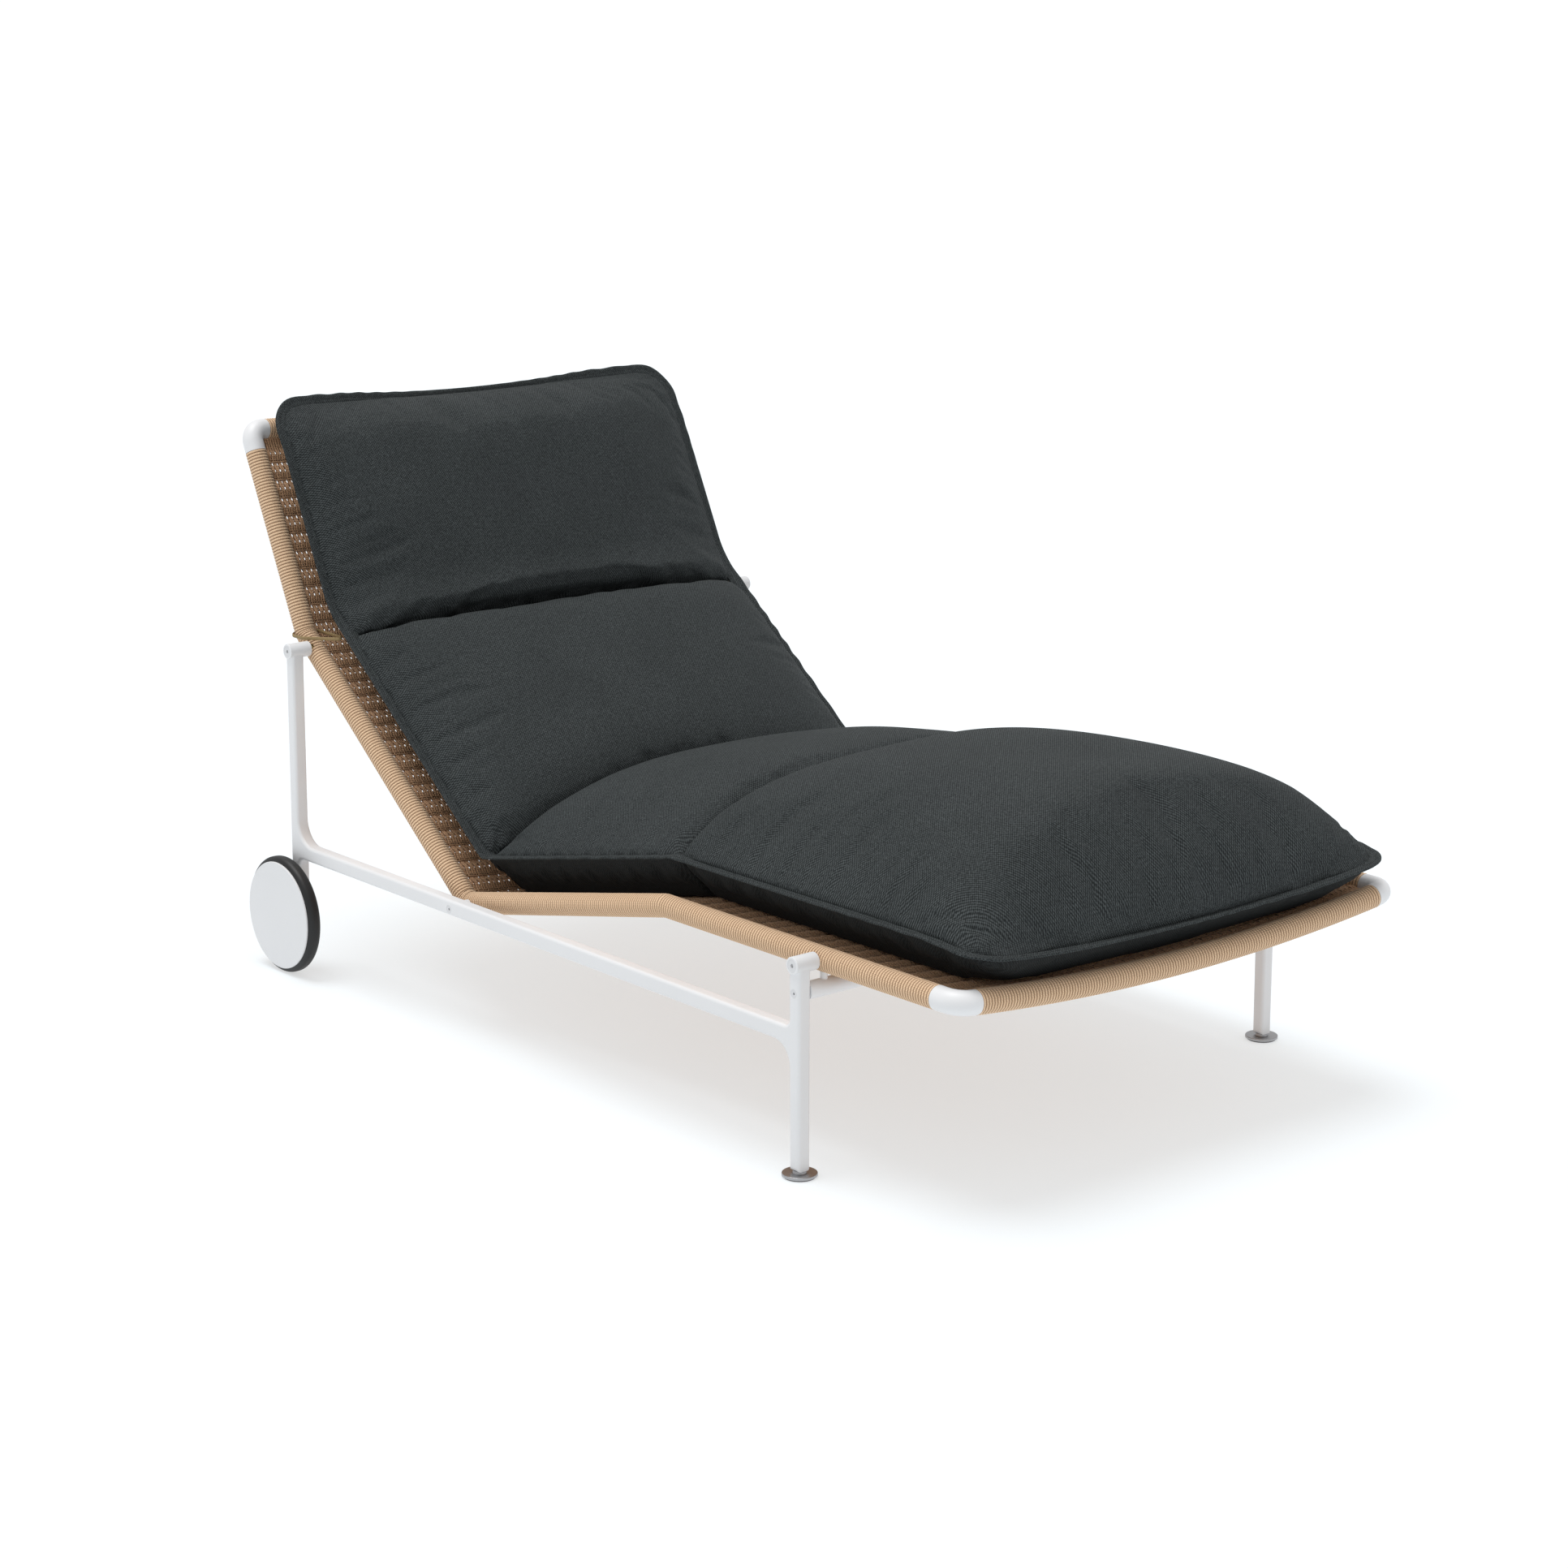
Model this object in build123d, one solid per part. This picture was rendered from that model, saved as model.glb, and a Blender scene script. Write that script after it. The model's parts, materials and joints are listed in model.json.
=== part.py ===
"""Outdoor sun lounger on wheels: a cord-wrapped tube shell held between two cast side frames.

Millimetres.  X is across the lounger, +Y runs to the head end, +Z is up.  The origin is on the floor under
the middle of the lounger.
"""

from build123d import *
from math import cos, radians, sin, sqrt, tan
import os

# ---- shell: one side's bend points, from the foot bar to the head bar (y, z)
FOOT = (-771.4, 266.0)
KNEE = (-229.4, 264.0)
HIP = (209.6, 171.0)
NECK = (613.6, 485.0)
HEAD = (752.6, 767.0)
PROFILE = [FOOT, KNEE, HIP, NECK, HEAD]
PARTS_OF_SHELL = ["leg", "seat", "back", "head"]
SHELL_HALF_WIDTH = 373.5  # middle plane to the side tube's axis
TUBE_R = 12.5
TUBE_WALL = 2.0
CORD = 3.0  # cord wrapped over the tube
WRAP_R = TUBE_R + CORD
WRAP_GAP = 0.05  # between a tube and the sleeve of cord on it
ELBOW_R = 15.0
ELBOW_BEND = 20.0  # centre-line radius
ELBOW_SIDE = 34.0  # from the corner point along the side tube
ELBOW_END = 26.0  # from the corner point along the end bar
SPIGOT = 18.0  # how far an elbow's spigot enters a tube
SPIGOT_GAP = 0.05
BAR_TILT = 6.0  # degrees that an end bar dips where it leaves the elbow
BEND_REACH = 160.0  # a run's section is extruded this far past a bend before it is cut

# ---- woven deck
DECK_HALF_WIDTH = 352.0
DECK_THICK = 4.0
DECK_END_GAP = 0.5

# ---- cast side frames
FRAME_X = 411.0  # middle plane to the frame's middle
FRAME_THICK = 19.5
FRONT_Y = -535.4
REAR_Y = 584.6
RAIL_Z = 177.0
RAIL_HEIGHT = 22.0
LEG_TOP_WIDTH = 19.5
LEG_FOOT_WIDTH = 17.5
UPRIGHT_WIDTH = 19.0
AXLE_END_WIDTH = 18.0  # the upright narrows to this below the rail
FRONT_BOSS_Z = 266.0
REAR_BOSS_Z = 470.0
BOSS_R = 11.0
BOSS_PROUD = 3.0  # past the frame's outer face
AXLE_BOSS_R = 15.0
EDGE_ROUND = 4.5
REAR_FILLET = 36.0  # inner corners of the side view
AXLE_FILLET = 11.0
FRONT_FILLET = 10.0
LEG_FILLET = 30.0
BOSS_EDGE = 1.0
STUD_ROOM = 24.0  # clearance hole over each front leg's insert
STUD_ROOM_GAP = 1.0
CUT = 1.0  # how far a cutting shape runs past a face

# ---- fixings
BOSS_BOLT_R = 4.0
BOSS_BOLT_HEAD_R = 8.2
SMALL_BOLT_R = 3.0
SMALL_BOLT_HEAD_R = 5.6
BOLT_GAP = 0.05
HEAD_CONE = 3.0  # depth of a countersunk head
HEAD_LAND = 0.8
HEAD_RECESS = 0.2  # below the face round it
BOSS_KEY = 5.0  # across the flats of the sockets
SMALL_KEY = 3.5
INSERT_R = 6.5
INSERT_LENGTH = 15.0
INSERT_RECESS = 0.5  # below the tube's outside
SMALL_SPACER_R = 8.0
SPACER_GAP = 0.1  # to the cord
BOLT_PAST_AXIS = 2.0  # a shell bolt ends this far past the side tube's axis

# ---- front crossbar and its stand-offs
CROSSBAR_Z = 231.0
CROSSBAR_R = 11.0
CROSSBAR_WALL = 2.0
PLUG_LENGTH = 24.0
PLUG_THREAD = 20.0  # length of plug that a crossbar bolt fills
POST_R = 4.75
CORNER_BOLT_Y = 190.6

# ---- wheels
WHEEL_R = 85.0
TYRE_WIDTH = 20.0
TYRE_ROUND = 8.0
RIM_R = 71.0
RIM_WIDTH = 16.0
RIM_WALL = 6.0
WEB = 4.0
HUB_R = 15.0
BUSH_R = 7.5
BUSH_GAP = 0.02
AXLE_R = 5.0
AXLE_GAP = 0.05
WASHER_R = 9.5
SPACE_WASHER = 4.0  # between the frame and the hub
THIN_WASHER = 0.9
AXLE_HEAD_R = 8.5
AXLE_HEAD = 4.0
AXLE_PAST_HUB = 3.4
GROOVE_PAST_HUB = 1.4
GROOVE_WIDTH = 1.0
GROOVE_DEPTH = 0.8
RING_WIDTH = 0.9
RING_PROUD = 2.2
RING_SLOT = 5.0
HUB_PAST_MIDDLE = 5.0  # hub's outer end past the tyre's middle plane
WEB_HOLES = 6
WEB_HOLE_R = 13.0
WEB_HOLE_AT = 40.0  # from the wheel's axis
TYRE_CHAMFER = 1.0
COVER_R = 78.2
COVER_THICK = 2.4
COVER_ROUND = 1.1
COVER_GAP = 0.1  # to the tyre
CLIP_DEPTH = 6.0
CLIP_WALL = 2.0
CLIP_GAP = 0.05
WHEEL_X = 440.0  # tyre's middle plane
SIDE_GAP = 0.4  # running gap beside the hub

# ---- levelling feet
GLIDE_R = 22.0
GLIDE_THICK = 3.4
GLIDE_EDGE = 1.0
PAD_THICK = 2.2
PAD_R = 19.5
STUD_R = 4.0
STUD_LENGTH = 34.0
FOOT_INSERT_R = 6.5
FOOT_INSERT_LENGTH = 22.0
LEG_BOTTOM = 8.6
INSERT_END_GAP = 0.1
GLIDE_NECK_R = 8.0

# ---- cushion: one cover with four filled sections
CUSHION_HALF_WIDTH = 362.0
CUSHION_BASE_HALF = 330.0
SEAM_HEIGHT = 60.0  # edge seam above the tube axes
CROWN = {"leg": 182.0, "seat": 158.0, "back": 142.0, "head": 124.0}
SHOULDER_AT = 0.72  # of the half width
SHOULDER_RISE = 0.66  # of the crown's rise over the seam
CUSHION_LIFT = 3.5  # underside above the deck's middle surface
FOOT_OVERHANG = 15.0  # cushion past the foot bar's axis
HEAD_OVERHANG = 2.0  # cushion past the head bar's axis
CREASE_GAP = 1.0
NECK_CREASE_SHIFT = 50.0  # the crease below the head section lies this far below the shell's neck
BAR_CLEARANCE = 4.0  # cushion to wrapped end bar

# ---- elastic straps that hold the cushion at the neck: level loops round the tube
STRAP_Z = 481.6
STRAP_HEIGHT = 5.0
STRAP_THICK = 2.0
STRAP_TUBE_R = 17.2
STRAP_TUBE_Y = (600.5, 614.8)
STRAP_END = (360.0, 549.0, 3.0)  # x, y and radius of the loop's end at the cushion


def unit(a, b):
    """Direction from a to b in the side view."""
    length = sqrt((b[0] - a[0]) ** 2 + (b[1] - a[1]) ** 2)
    return ((b[0] - a[0]) / length, (b[1] - a[1]) / length)


def run_plane(i, x=0.0):
    """Plane across run i of the profile: its x is the lounger's -X, its y is up out of the deck."""
    along = unit(PROFILE[i], PROFILE[i + 1])
    start = PROFILE[i]
    return Plane(origin=(x, start[0], start[1]), x_dir=(-1, 0, 0), z_dir=(0, along[0], along[1]))


def run_length(i):
    a, b = PROFILE[i], PROFILE[i + 1]
    return sqrt((b[0] - a[0]) ** 2 + (b[1] - a[1]) ** 2)


def mitre_plane(i):
    """Plane that halves the bend at point i of the profile, facing the foot end."""
    before = unit(PROFILE[i - 1], PROFILE[i])
    after = unit(PROFILE[i], PROFILE[i + 1])
    normal = (0, -before[0] - after[0], -before[1] - after[1])
    return Plane(origin=(0, PROFILE[i][0], PROFILE[i][1]), z_dir=normal)


def extrude_run(sketch_of, i, foot_trim=0.0, head_trim=0.0, x=0.0):
    """Extrude a section along run i and cut it at the bends, or trim it at the two ends of the shell."""
    first = i == 0
    last = i == len(PROFILE) - 2
    start = foot_trim if first else -BEND_REACH
    stop = run_length(i) - head_trim if last else run_length(i) + BEND_REACH
    plane = run_plane(i, x)
    solid = extrude(plane.offset(start) * sketch_of, amount=stop - start)
    if not first:
        solid = split(solid, bisect_by=mitre_plane(i), keep=Keep.BOTTOM)
    if not last:
        solid = split(solid, bisect_by=mitre_plane(i + 1), keep=Keep.TOP)
    return solid


def ring(outer, inner):
    return Circle(outer) - Circle(inner)


def rod_x(x0, x1, y, z, radius):
    """Cylinder along X between x0 and x1."""
    low, high = min(x0, x1), max(x0, x1)
    plane = Plane(origin=(low, y, z), x_dir=(0, 1, 0), z_dir=(1, 0, 0))
    return extrude(plane * Circle(radius), amount=high - low)


def group(pieces):
    return Compound(children=list(pieces))


def mirror_x(shape):
    return mirror(shape, about=Plane.YZ)


# ---------------------------------------------------------------- shell


def corner_frame(end, side):
    """Corner point, direction along the side tube, and direction along the end bar."""
    index = 0 if end == "foot" else len(PROFILE) - 2
    a, b = PROFILE[index], PROFILE[index + 1]
    along = unit(a, b) if end == "foot" else unit(b, a)
    up = unit(a, b)
    normal = Vector(0, -up[1], up[0])
    point = PROFILE[0] if end == "foot" else PROFILE[-1]
    corner = Vector(side * SHELL_HALF_WIDTH, point[0], point[1])
    tilt = radians(BAR_TILT)
    across = Vector(-side * cos(tilt), 0, 0) - normal * sin(tilt)
    return corner, Vector(0, along[0], along[1]), across


def elbow(end, side):
    """Cast corner with a spigot into each tube."""
    corner, along, across = corner_frame(end, side)
    bend_in = corner + along * ELBOW_BEND
    bend_out = corner + across * ELBOW_BEND
    centre = corner + along * ELBOW_BEND + across * ELBOW_BEND
    middle = centre - (along + across) * (ELBOW_BEND / sqrt(2))
    straight_in = Edge.make_line(corner + along * ELBOW_SIDE, bend_in)
    arc = Edge.make_three_point_arc(bend_in, middle, bend_out)
    straight_out = Edge.make_line(bend_out, corner + across * ELBOW_END)
    path = Wire([straight_in, arc, straight_out])
    start = Plane(origin=corner + along * ELBOW_SIDE, z_dir=-along)
    body = sweep(start * Circle(ELBOW_R), path=path)
    radius = TUBE_R - TUBE_WALL - SPIGOT_GAP
    for direction, reach in ((along, ELBOW_SIDE), (across, ELBOW_END)):
        base = Plane(origin=corner + direction * (reach - CUT), z_dir=direction)
        body += extrude(base * Circle(radius), amount=SPIGOT + CUT)
    return body


def bar_arc(end):
    """Arc of an end bar from one elbow to the other, dipping in the middle."""
    left, _, across_left = corner_frame(end, -1)
    right, _, across_right = corner_frame(end, 1)
    start = left + across_left * ELBOW_END
    stop = right + across_right * ELBOW_END
    half = (stop - start).length / 2
    drop = half * tan(radians(BAR_TILT) / 2)
    index = 0 if end == "foot" else len(PROFILE) - 2
    up = unit(PROFILE[index], PROFILE[index + 1])
    normal = Vector(0, -up[1], up[0])
    middle = (start + stop) * 0.5 - normal * drop
    return Edge.make_three_point_arc(start, middle, stop), across_left


def end_bar(end, outer, inner):
    path, direction = bar_arc(end)
    start = Plane(origin=path @ 0, z_dir=direction)
    solid = sweep(start * Circle(outer), path=path)
    return solid - sweep(start * Circle(inner), path=path)


def bar_dip():
    """How far an end bar's middle lies below its corner points."""
    tilt = radians(BAR_TILT)
    half = SHELL_HALF_WIDTH - ELBOW_END * cos(tilt)
    return ELBOW_END * sin(tilt) + half * tan(tilt / 2)


def side_tube(side):
    tube = None
    for i in range(len(PROFILE) - 1):
        section = ring(TUBE_R, TUBE_R - TUBE_WALL)
        piece = extrude_run(section, i, ELBOW_SIDE, ELBOW_SIDE, x=side * SHELL_HALF_WIDTH)
        tube = piece if tube is None else tube + piece
    return tube


def side_wrap(i, side):
    section = ring(WRAP_R, TUBE_R + WRAP_GAP)
    return extrude_run(section, i, ELBOW_SIDE, ELBOW_SIDE, x=side * SHELL_HALF_WIDTH)


def dish_height(x, dip):
    """Height of the dished deck's middle surface at x, from the side tubes' axes."""
    return -dip * (1 - (x / SHELL_HALF_WIDTH) ** 2)


def dished_line(half, offset, dip):
    edge = dish_height(half, dip) + offset
    return ThreePointArc((-half, edge), (0, -dip + offset), (half, edge))


def deck_panel(i):
    half = DECK_HALF_WIDTH
    dip = bar_dip()
    low = dished_line(half, -DECK_THICK / 2, dip)
    high = dished_line(half, DECK_THICK / 2, dip)
    section = make_face([low, Line(low @ 1, high @ 1), high, Line(high @ 0, low @ 0)])
    trim = WRAP_R + DECK_END_GAP
    return extrude_run(section, i, trim, trim)


def cushion_outline(name):
    """Section across the cushion: dished underside, sloping sides up to the seam, and a full crown."""
    base = dished_line(CUSHION_BASE_HALF, CUSHION_LIFT, bar_dip())
    left = Line(base @ 0, (-CUSHION_HALF_WIDTH, SEAM_HEIGHT))
    right = Line(base @ 1, (CUSHION_HALF_WIDTH, SEAM_HEIGHT))
    shoulder_x = SHOULDER_AT * CUSHION_HALF_WIDTH
    shoulder = SEAM_HEIGHT + SHOULDER_RISE * (CROWN[name] - SEAM_HEIGHT)
    crown = Spline(left @ 1, (-shoulder_x, shoulder), (0, CROWN[name]), (shoulder_x, shoulder), right @ 1)
    return make_face([base, right, crown, left])


def cushion_section(i):
    """One filled section; the head section starts below the neck and bends with the shell."""
    name = PARTS_OF_SHELL[i]
    solid = extrude_run(cushion_outline(name), i, -FOOT_OVERHANG, -HEAD_OVERHANG)
    neck = PARTS_OF_SHELL.index("head")
    for bend in (i, i + 1):
        if bend in (0, len(PROFILE) - 1, neck):
            continue
        keep = Keep.BOTTOM if bend == i else Keep.TOP
        gap = -CREASE_GAP / 2 if bend == i else CREASE_GAP / 2
        solid = split(solid, bisect_by=mitre_plane(bend).offset(gap), keep=keep)
    crease = mitre_plane(neck).offset(NECK_CREASE_SHIFT)
    if name == "back":
        solid = split(solid, bisect_by=crease.offset(CREASE_GAP / 2), keep=Keep.TOP)
    if name == "head":
        below_neck = extrude_run(cushion_outline(name), i - 1)
        solid += split(below_neck, bisect_by=crease.offset(-CREASE_GAP / 2), keep=Keep.BOTTOM)
    return solid


def end_clearance(end):
    """Room over an end bar, so that the cushion rests clear of the wrapped bar."""
    index = 0 if end == "foot" else len(PROFILE) - 2
    plane = run_plane(index)
    centre = 0.0 if end == "foot" else run_length(index)
    top = WRAP_R + BAR_CLEARANCE
    height = 2 * top + SEAM_HEIGHT
    reach = top + HEAD_OVERHANG
    box = Pos(0, top - height / 2, centre) * Box(2 * SHELL_HALF_WIDTH, height, 2 * reach)
    return plane.location * box


def strap_outline(grow):
    """Level outline round the tube and the loop's end at the cushion, grown by the strap's thickness."""
    end_x, end_y, end_r = STRAP_END
    circles = [Pos(SHELL_HALF_WIDTH, y) * Circle(STRAP_TUBE_R + grow) for y in STRAP_TUBE_Y]
    circles.append(Pos(end_x, end_y) * Circle(end_r + grow))
    edges = [edge for circle in circles for edge in circle.edges()]
    return make_hull(edges)


def neck_strap(side):
    """Elastic loop round the wrapped tube at the neck bend, out to the cushion's crease."""
    loop = strap_outline(STRAP_THICK) - strap_outline(0.0)
    strap = extrude(Plane.XY.offset(STRAP_Z) * loop, amount=STRAP_HEIGHT)
    return strap if side > 0 else mirror_x(strap)


# ---------------------------------------------------------------- side frames


def side_outline():
    """Side view of a cast frame: upright, rail and front leg in one."""
    half_up = UPRIGHT_WIDTH / 2
    half_rail = RAIL_HEIGHT / 2
    half_axle = AXLE_END_WIDTH / 2
    rail_bottom = RAIL_Z - half_rail
    upright = Polygon(
        (REAR_Y - half_axle, WHEEL_R),
        (REAR_Y + half_axle, WHEEL_R),
        (REAR_Y + half_up, rail_bottom),
        (REAR_Y + half_up, REAR_BOSS_Z),
        (REAR_Y - half_up, REAR_BOSS_Z),
        (REAR_Y - half_up, rail_bottom),
        align=None,
    )
    rail = Pos((FRONT_Y + REAR_Y) / 2, RAIL_Z) * Rectangle(REAR_Y - FRONT_Y, RAIL_HEIGHT)
    leg = Polygon(
        (FRONT_Y - LEG_FOOT_WIDTH / 2, LEG_BOTTOM),
        (FRONT_Y + LEG_FOOT_WIDTH / 2, LEG_BOTTOM),
        (FRONT_Y + LEG_TOP_WIDTH / 2, FRONT_BOSS_Z),
        (FRONT_Y - LEG_TOP_WIDTH / 2, FRONT_BOSS_Z),
        align=None,
    )
    outline = upright + rail + leg
    inner_corners = [
        (REAR_Y - half_up, RAIL_Z + half_rail, REAR_FILLET),
        (REAR_Y - half_up, rail_bottom, AXLE_FILLET),
        (FRONT_Y + LEG_TOP_WIDTH / 2, RAIL_Z + half_rail, FRONT_FILLET),
        (FRONT_Y + LEG_TOP_WIDTH / 2, rail_bottom, LEG_FILLET),
    ]
    for y, z, radius in inner_corners:
        vertex = outline.vertices().sort_by_distance((y, z, 0))[0]
        outline = fillet(vertex, radius)
    outline += Pos(REAR_Y, WHEEL_R) * Circle(AXLE_BOSS_R)
    outline += Pos(REAR_Y, REAR_BOSS_Z) * Circle(BOSS_R)
    outline += Pos(FRONT_Y, FRONT_BOSS_Z) * Circle(LEG_TOP_WIDTH / 2)
    return outline


def side_frame(side):
    """Cast frame with its two bosses, bolt holes and countersinks; side is -1 or 1."""
    plane = Plane(origin=(FRAME_X - FRAME_THICK / 2, 0, 0), x_dir=(0, 1, 0), z_dir=(1, 0, 0))
    body = extrude(plane * side_outline(), amount=FRAME_THICK)
    half = FRAME_THICK / 2
    face_edges = body.edges().filter_by(lambda edge: abs(edge.center().X - FRAME_X) > 0.9 * half)
    body = fillet(face_edges, EDGE_ROUND)
    outer = FRAME_X + half
    inner = FRAME_X - half
    for y, z in ((FRONT_Y, FRONT_BOSS_Z), (REAR_Y, REAR_BOSS_Z)):
        boss = rod_x(inner, outer + BOSS_PROUD, y, z, BOSS_R)
        rim = boss.edges().filter_by(GeomType.CIRCLE).sort_by(Axis.X)[-1]
        body += fillet(rim, BOSS_EDGE)
        body -= bolt_hole(outer + BOSS_PROUD, inner, y, z, BOSS_BOLT_R, BOSS_BOLT_HEAD_R)
    for y, z in ((FRONT_Y, CROSSBAR_Z), (CORNER_BOLT_Y, corner_height())):
        body -= bolt_hole(outer, inner, y, z, SMALL_BOLT_R, SMALL_BOLT_HEAD_R)
    body -= rod_x(inner - CUT, outer + CUT, REAR_Y, WHEEL_R, AXLE_R + BOLT_GAP)
    bore = Pos(FRAME_X, FRONT_Y, LEG_BOTTOM + FOOT_INSERT_LENGTH / 2)
    body -= bore * Cylinder(FOOT_INSERT_R + BOLT_GAP, FOOT_INSERT_LENGTH + INSERT_END_GAP)
    stud_room = Pos(FRAME_X, FRONT_Y, LEG_BOTTOM + FOOT_INSERT_LENGTH + STUD_ROOM / 3)
    body -= stud_room * Cylinder(STUD_R + STUD_ROOM_GAP, STUD_ROOM)
    return body if side > 0 else mirror_x(body)


def corner_height():
    """Height of the side tube's axis over the corner bolt."""
    share = (CORNER_BOLT_Y - KNEE[0]) / (HIP[0] - KNEE[0])
    return KNEE[1] + share * (HIP[1] - KNEE[1])


# ---------------------------------------------------------------- fixings


def bolt_hole(face, end, y, z, radius, head_radius):
    """Clearance hole with a countersink, from the outer face inwards along -X."""
    hole = rod_x(face + CUT, end - CUT, y, z, radius + BOLT_GAP)
    land = rod_x(face + CUT, face - HEAD_LAND, y, z, head_radius + BOLT_GAP)
    cone_plane = Plane(origin=(face - HEAD_LAND, y, z), x_dir=(0, 1, 0), z_dir=(-1, 0, 0))
    cone = loft([
        cone_plane * Circle(head_radius + BOLT_GAP),
        cone_plane.offset(HEAD_CONE) * Circle(radius + BOLT_GAP),
    ])
    return hole + land + cone


def bolt(face, end, y, z, radius, head_radius, key):
    """Countersunk bolt with a hexagon socket, head at the outer face."""
    shank = rod_x(face - HEAD_LAND, end, y, z, radius)
    land = rod_x(face - HEAD_RECESS, face - HEAD_LAND, y, z, head_radius)
    cone_plane = Plane(origin=(face - HEAD_LAND, y, z), x_dir=(0, 1, 0), z_dir=(-1, 0, 0))
    cone = loft([cone_plane * Circle(head_radius), cone_plane.offset(HEAD_CONE) * Circle(radius)])
    socket_plane = Plane(origin=(face, y, z), x_dir=(0, 1, 0), z_dir=(-1, 0, 0))
    socket = extrude(socket_plane * RegularPolygon(key / 2, 6, major_radius=False), amount=HEAD_CONE)
    return shank + land + cone - socket


def both_sides(shape):
    return [shape, mirror_x(shape)]


def shell_points():
    """Where the shell is bolted on each side: y, z, bolt radius."""
    return [
        (FRONT_Y, FRONT_BOSS_Z, BOSS_BOLT_R),
        (REAR_Y, REAR_BOSS_Z, BOSS_BOLT_R),
        (CORNER_BOLT_Y, corner_height(), SMALL_BOLT_R),
    ]


def shell_insert(y, z, radius):
    """Threaded insert that crosses the side tube for one shell bolt."""
    outer = SHELL_HALF_WIDTH + TUBE_R - INSERT_RECESS
    body = rod_x(outer, outer - INSERT_LENGTH, y, z, INSERT_R)
    return body - rod_x(outer + CUT, outer - INSERT_LENGTH - CUT, y, z, radius + BOLT_GAP)


def bolt_room(side):
    """Everything that the shell's bolts and inserts take out of a tube and its cord sleeves."""
    outer = SHELL_HALF_WIDTH + TUBE_R
    inner = outer - INSERT_RECESS - INSERT_LENGTH
    room = None
    for y, z, radius in shell_points():
        piece = rod_x(outer + 2 * CORD, inner - CORD, y, z, radius + BOLT_GAP)
        piece += rod_x(outer + INSERT_END_GAP, inner - INSERT_END_GAP, y, z, INSERT_R + BOLT_GAP)
        room = piece if room is None else room + piece
    return room if side > 0 else mirror_x(room)


def spacer(y, z, outer_radius, bolt_radius):
    """Collar between a side frame's inner face and the wrapped tube."""
    start = FRAME_X - FRAME_THICK / 2
    stop = SHELL_HALF_WIDTH + WRAP_R + SPACER_GAP
    hole = rod_x(start + CUT, stop - CUT, y, z, bolt_radius + BOLT_GAP)
    return rod_x(start, stop, y, z, outer_radius) - hole


def front_crossbar():
    half = FRAME_X - FRAME_THICK / 2
    bar = rod_x(-half, half, FRONT_Y, CROSSBAR_Z, CROSSBAR_R)
    return bar - rod_x(-half - CUT, half + CUT, FRONT_Y, CROSSBAR_Z, CROSSBAR_R - CROSSBAR_WALL)


def crossbar_plug():
    end = FRAME_X - FRAME_THICK / 2
    radius = CROSSBAR_R - CROSSBAR_WALL - BOLT_GAP
    plug = rod_x(end - PLUG_LENGTH, end, FRONT_Y, CROSSBAR_Z, radius)
    return plug - rod_x(end - PLUG_LENGTH - CUT, end + CUT, FRONT_Y, CROSSBAR_Z, SMALL_BOLT_R + BOLT_GAP)


def stand_off():
    """Short post from the crossbar up to the wrapped side tube."""
    low = CROSSBAR_Z
    high = FRONT_BOSS_Z
    post = Pos(SHELL_HALF_WIDTH, FRONT_Y, (low + high) / 2) * Cylinder(POST_R, high - low)
    low_x, high_x = SHELL_HALF_WIDTH - CROSSBAR_R, SHELL_HALF_WIDTH + CROSSBAR_R
    post -= rod_x(low_x, high_x, FRONT_Y, CROSSBAR_Z, CROSSBAR_R)
    sleeve = extrude_run(Circle(WRAP_R + WRAP_GAP), 0, ELBOW_SIDE, x=SHELL_HALF_WIDTH)
    return post - sleeve


# ---------------------------------------------------------------- wheels


def turned(points, x0):
    """Turn a half section about the wheel axis; points are (distance from x0 outwards, radius)."""
    face = Polygon(*[(x0 + a, r) for a, r in points], align=None)
    solid = revolve(face, axis=Axis.X, revolution_arc=360)
    return Pos(0, REAR_Y, WHEEL_R) * solid


def tyre():
    half = TYRE_WIDTH / 2
    section = Pos(WHEEL_X, (RIM_R + WHEEL_R) / 2) * Rectangle(TYRE_WIDTH, WHEEL_R - RIM_R)
    outer = section.vertices().group_by(Axis.Y)[-1]
    section = fillet(outer, TYRE_ROUND)
    inner = section.vertices().group_by(Axis.Y)[0]
    section = chamfer(inner, TYRE_CHAMFER)
    solid = revolve(section, axis=Axis.X, revolution_arc=360)
    return Pos(0, REAR_Y, WHEEL_R) * solid


def wheel_rim():
    """Moulded wheel: rim, web with round windows behind the cover, and hub."""
    inner_x = WHEEL_X - RIM_WIDTH / 2
    bore_r = RIM_R - RIM_WALL
    rim = turned([(0, bore_r), (RIM_WIDTH, bore_r), (RIM_WIDTH, RIM_R), (0, RIM_R)], inner_x)
    web_x = RIM_WIDTH / 2 - WEB / 2
    web_r = RIM_R - RIM_WALL / 2
    web = turned([(web_x, BUSH_R), (web_x + WEB, BUSH_R), (web_x + WEB, web_r), (web_x, web_r)], inner_x)
    hub_out = hub_outer() - inner_x
    hub_in = hub_inner() - inner_x
    hub = turned([(hub_in, BUSH_R), (hub_out, BUSH_R), (hub_out, HUB_R), (hub_in, HUB_R)], inner_x)
    body = rim + web + hub
    for n in range(WEB_HOLES):
        spot = Vector(0, WEB_HOLE_AT, 0).rotate(Axis.Z, n * 360 / WEB_HOLES)
        body -= rod_x(inner_x, inner_x + RIM_WIDTH, REAR_Y + spot.X, WHEEL_R + spot.Y, WEB_HOLE_R)
    return body


def hub_inner():
    return FRAME_X + FRAME_THICK / 2 + SPACE_WASHER + SIDE_GAP


def hub_outer():
    return WHEEL_X + HUB_PAST_MIDDLE


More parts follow.
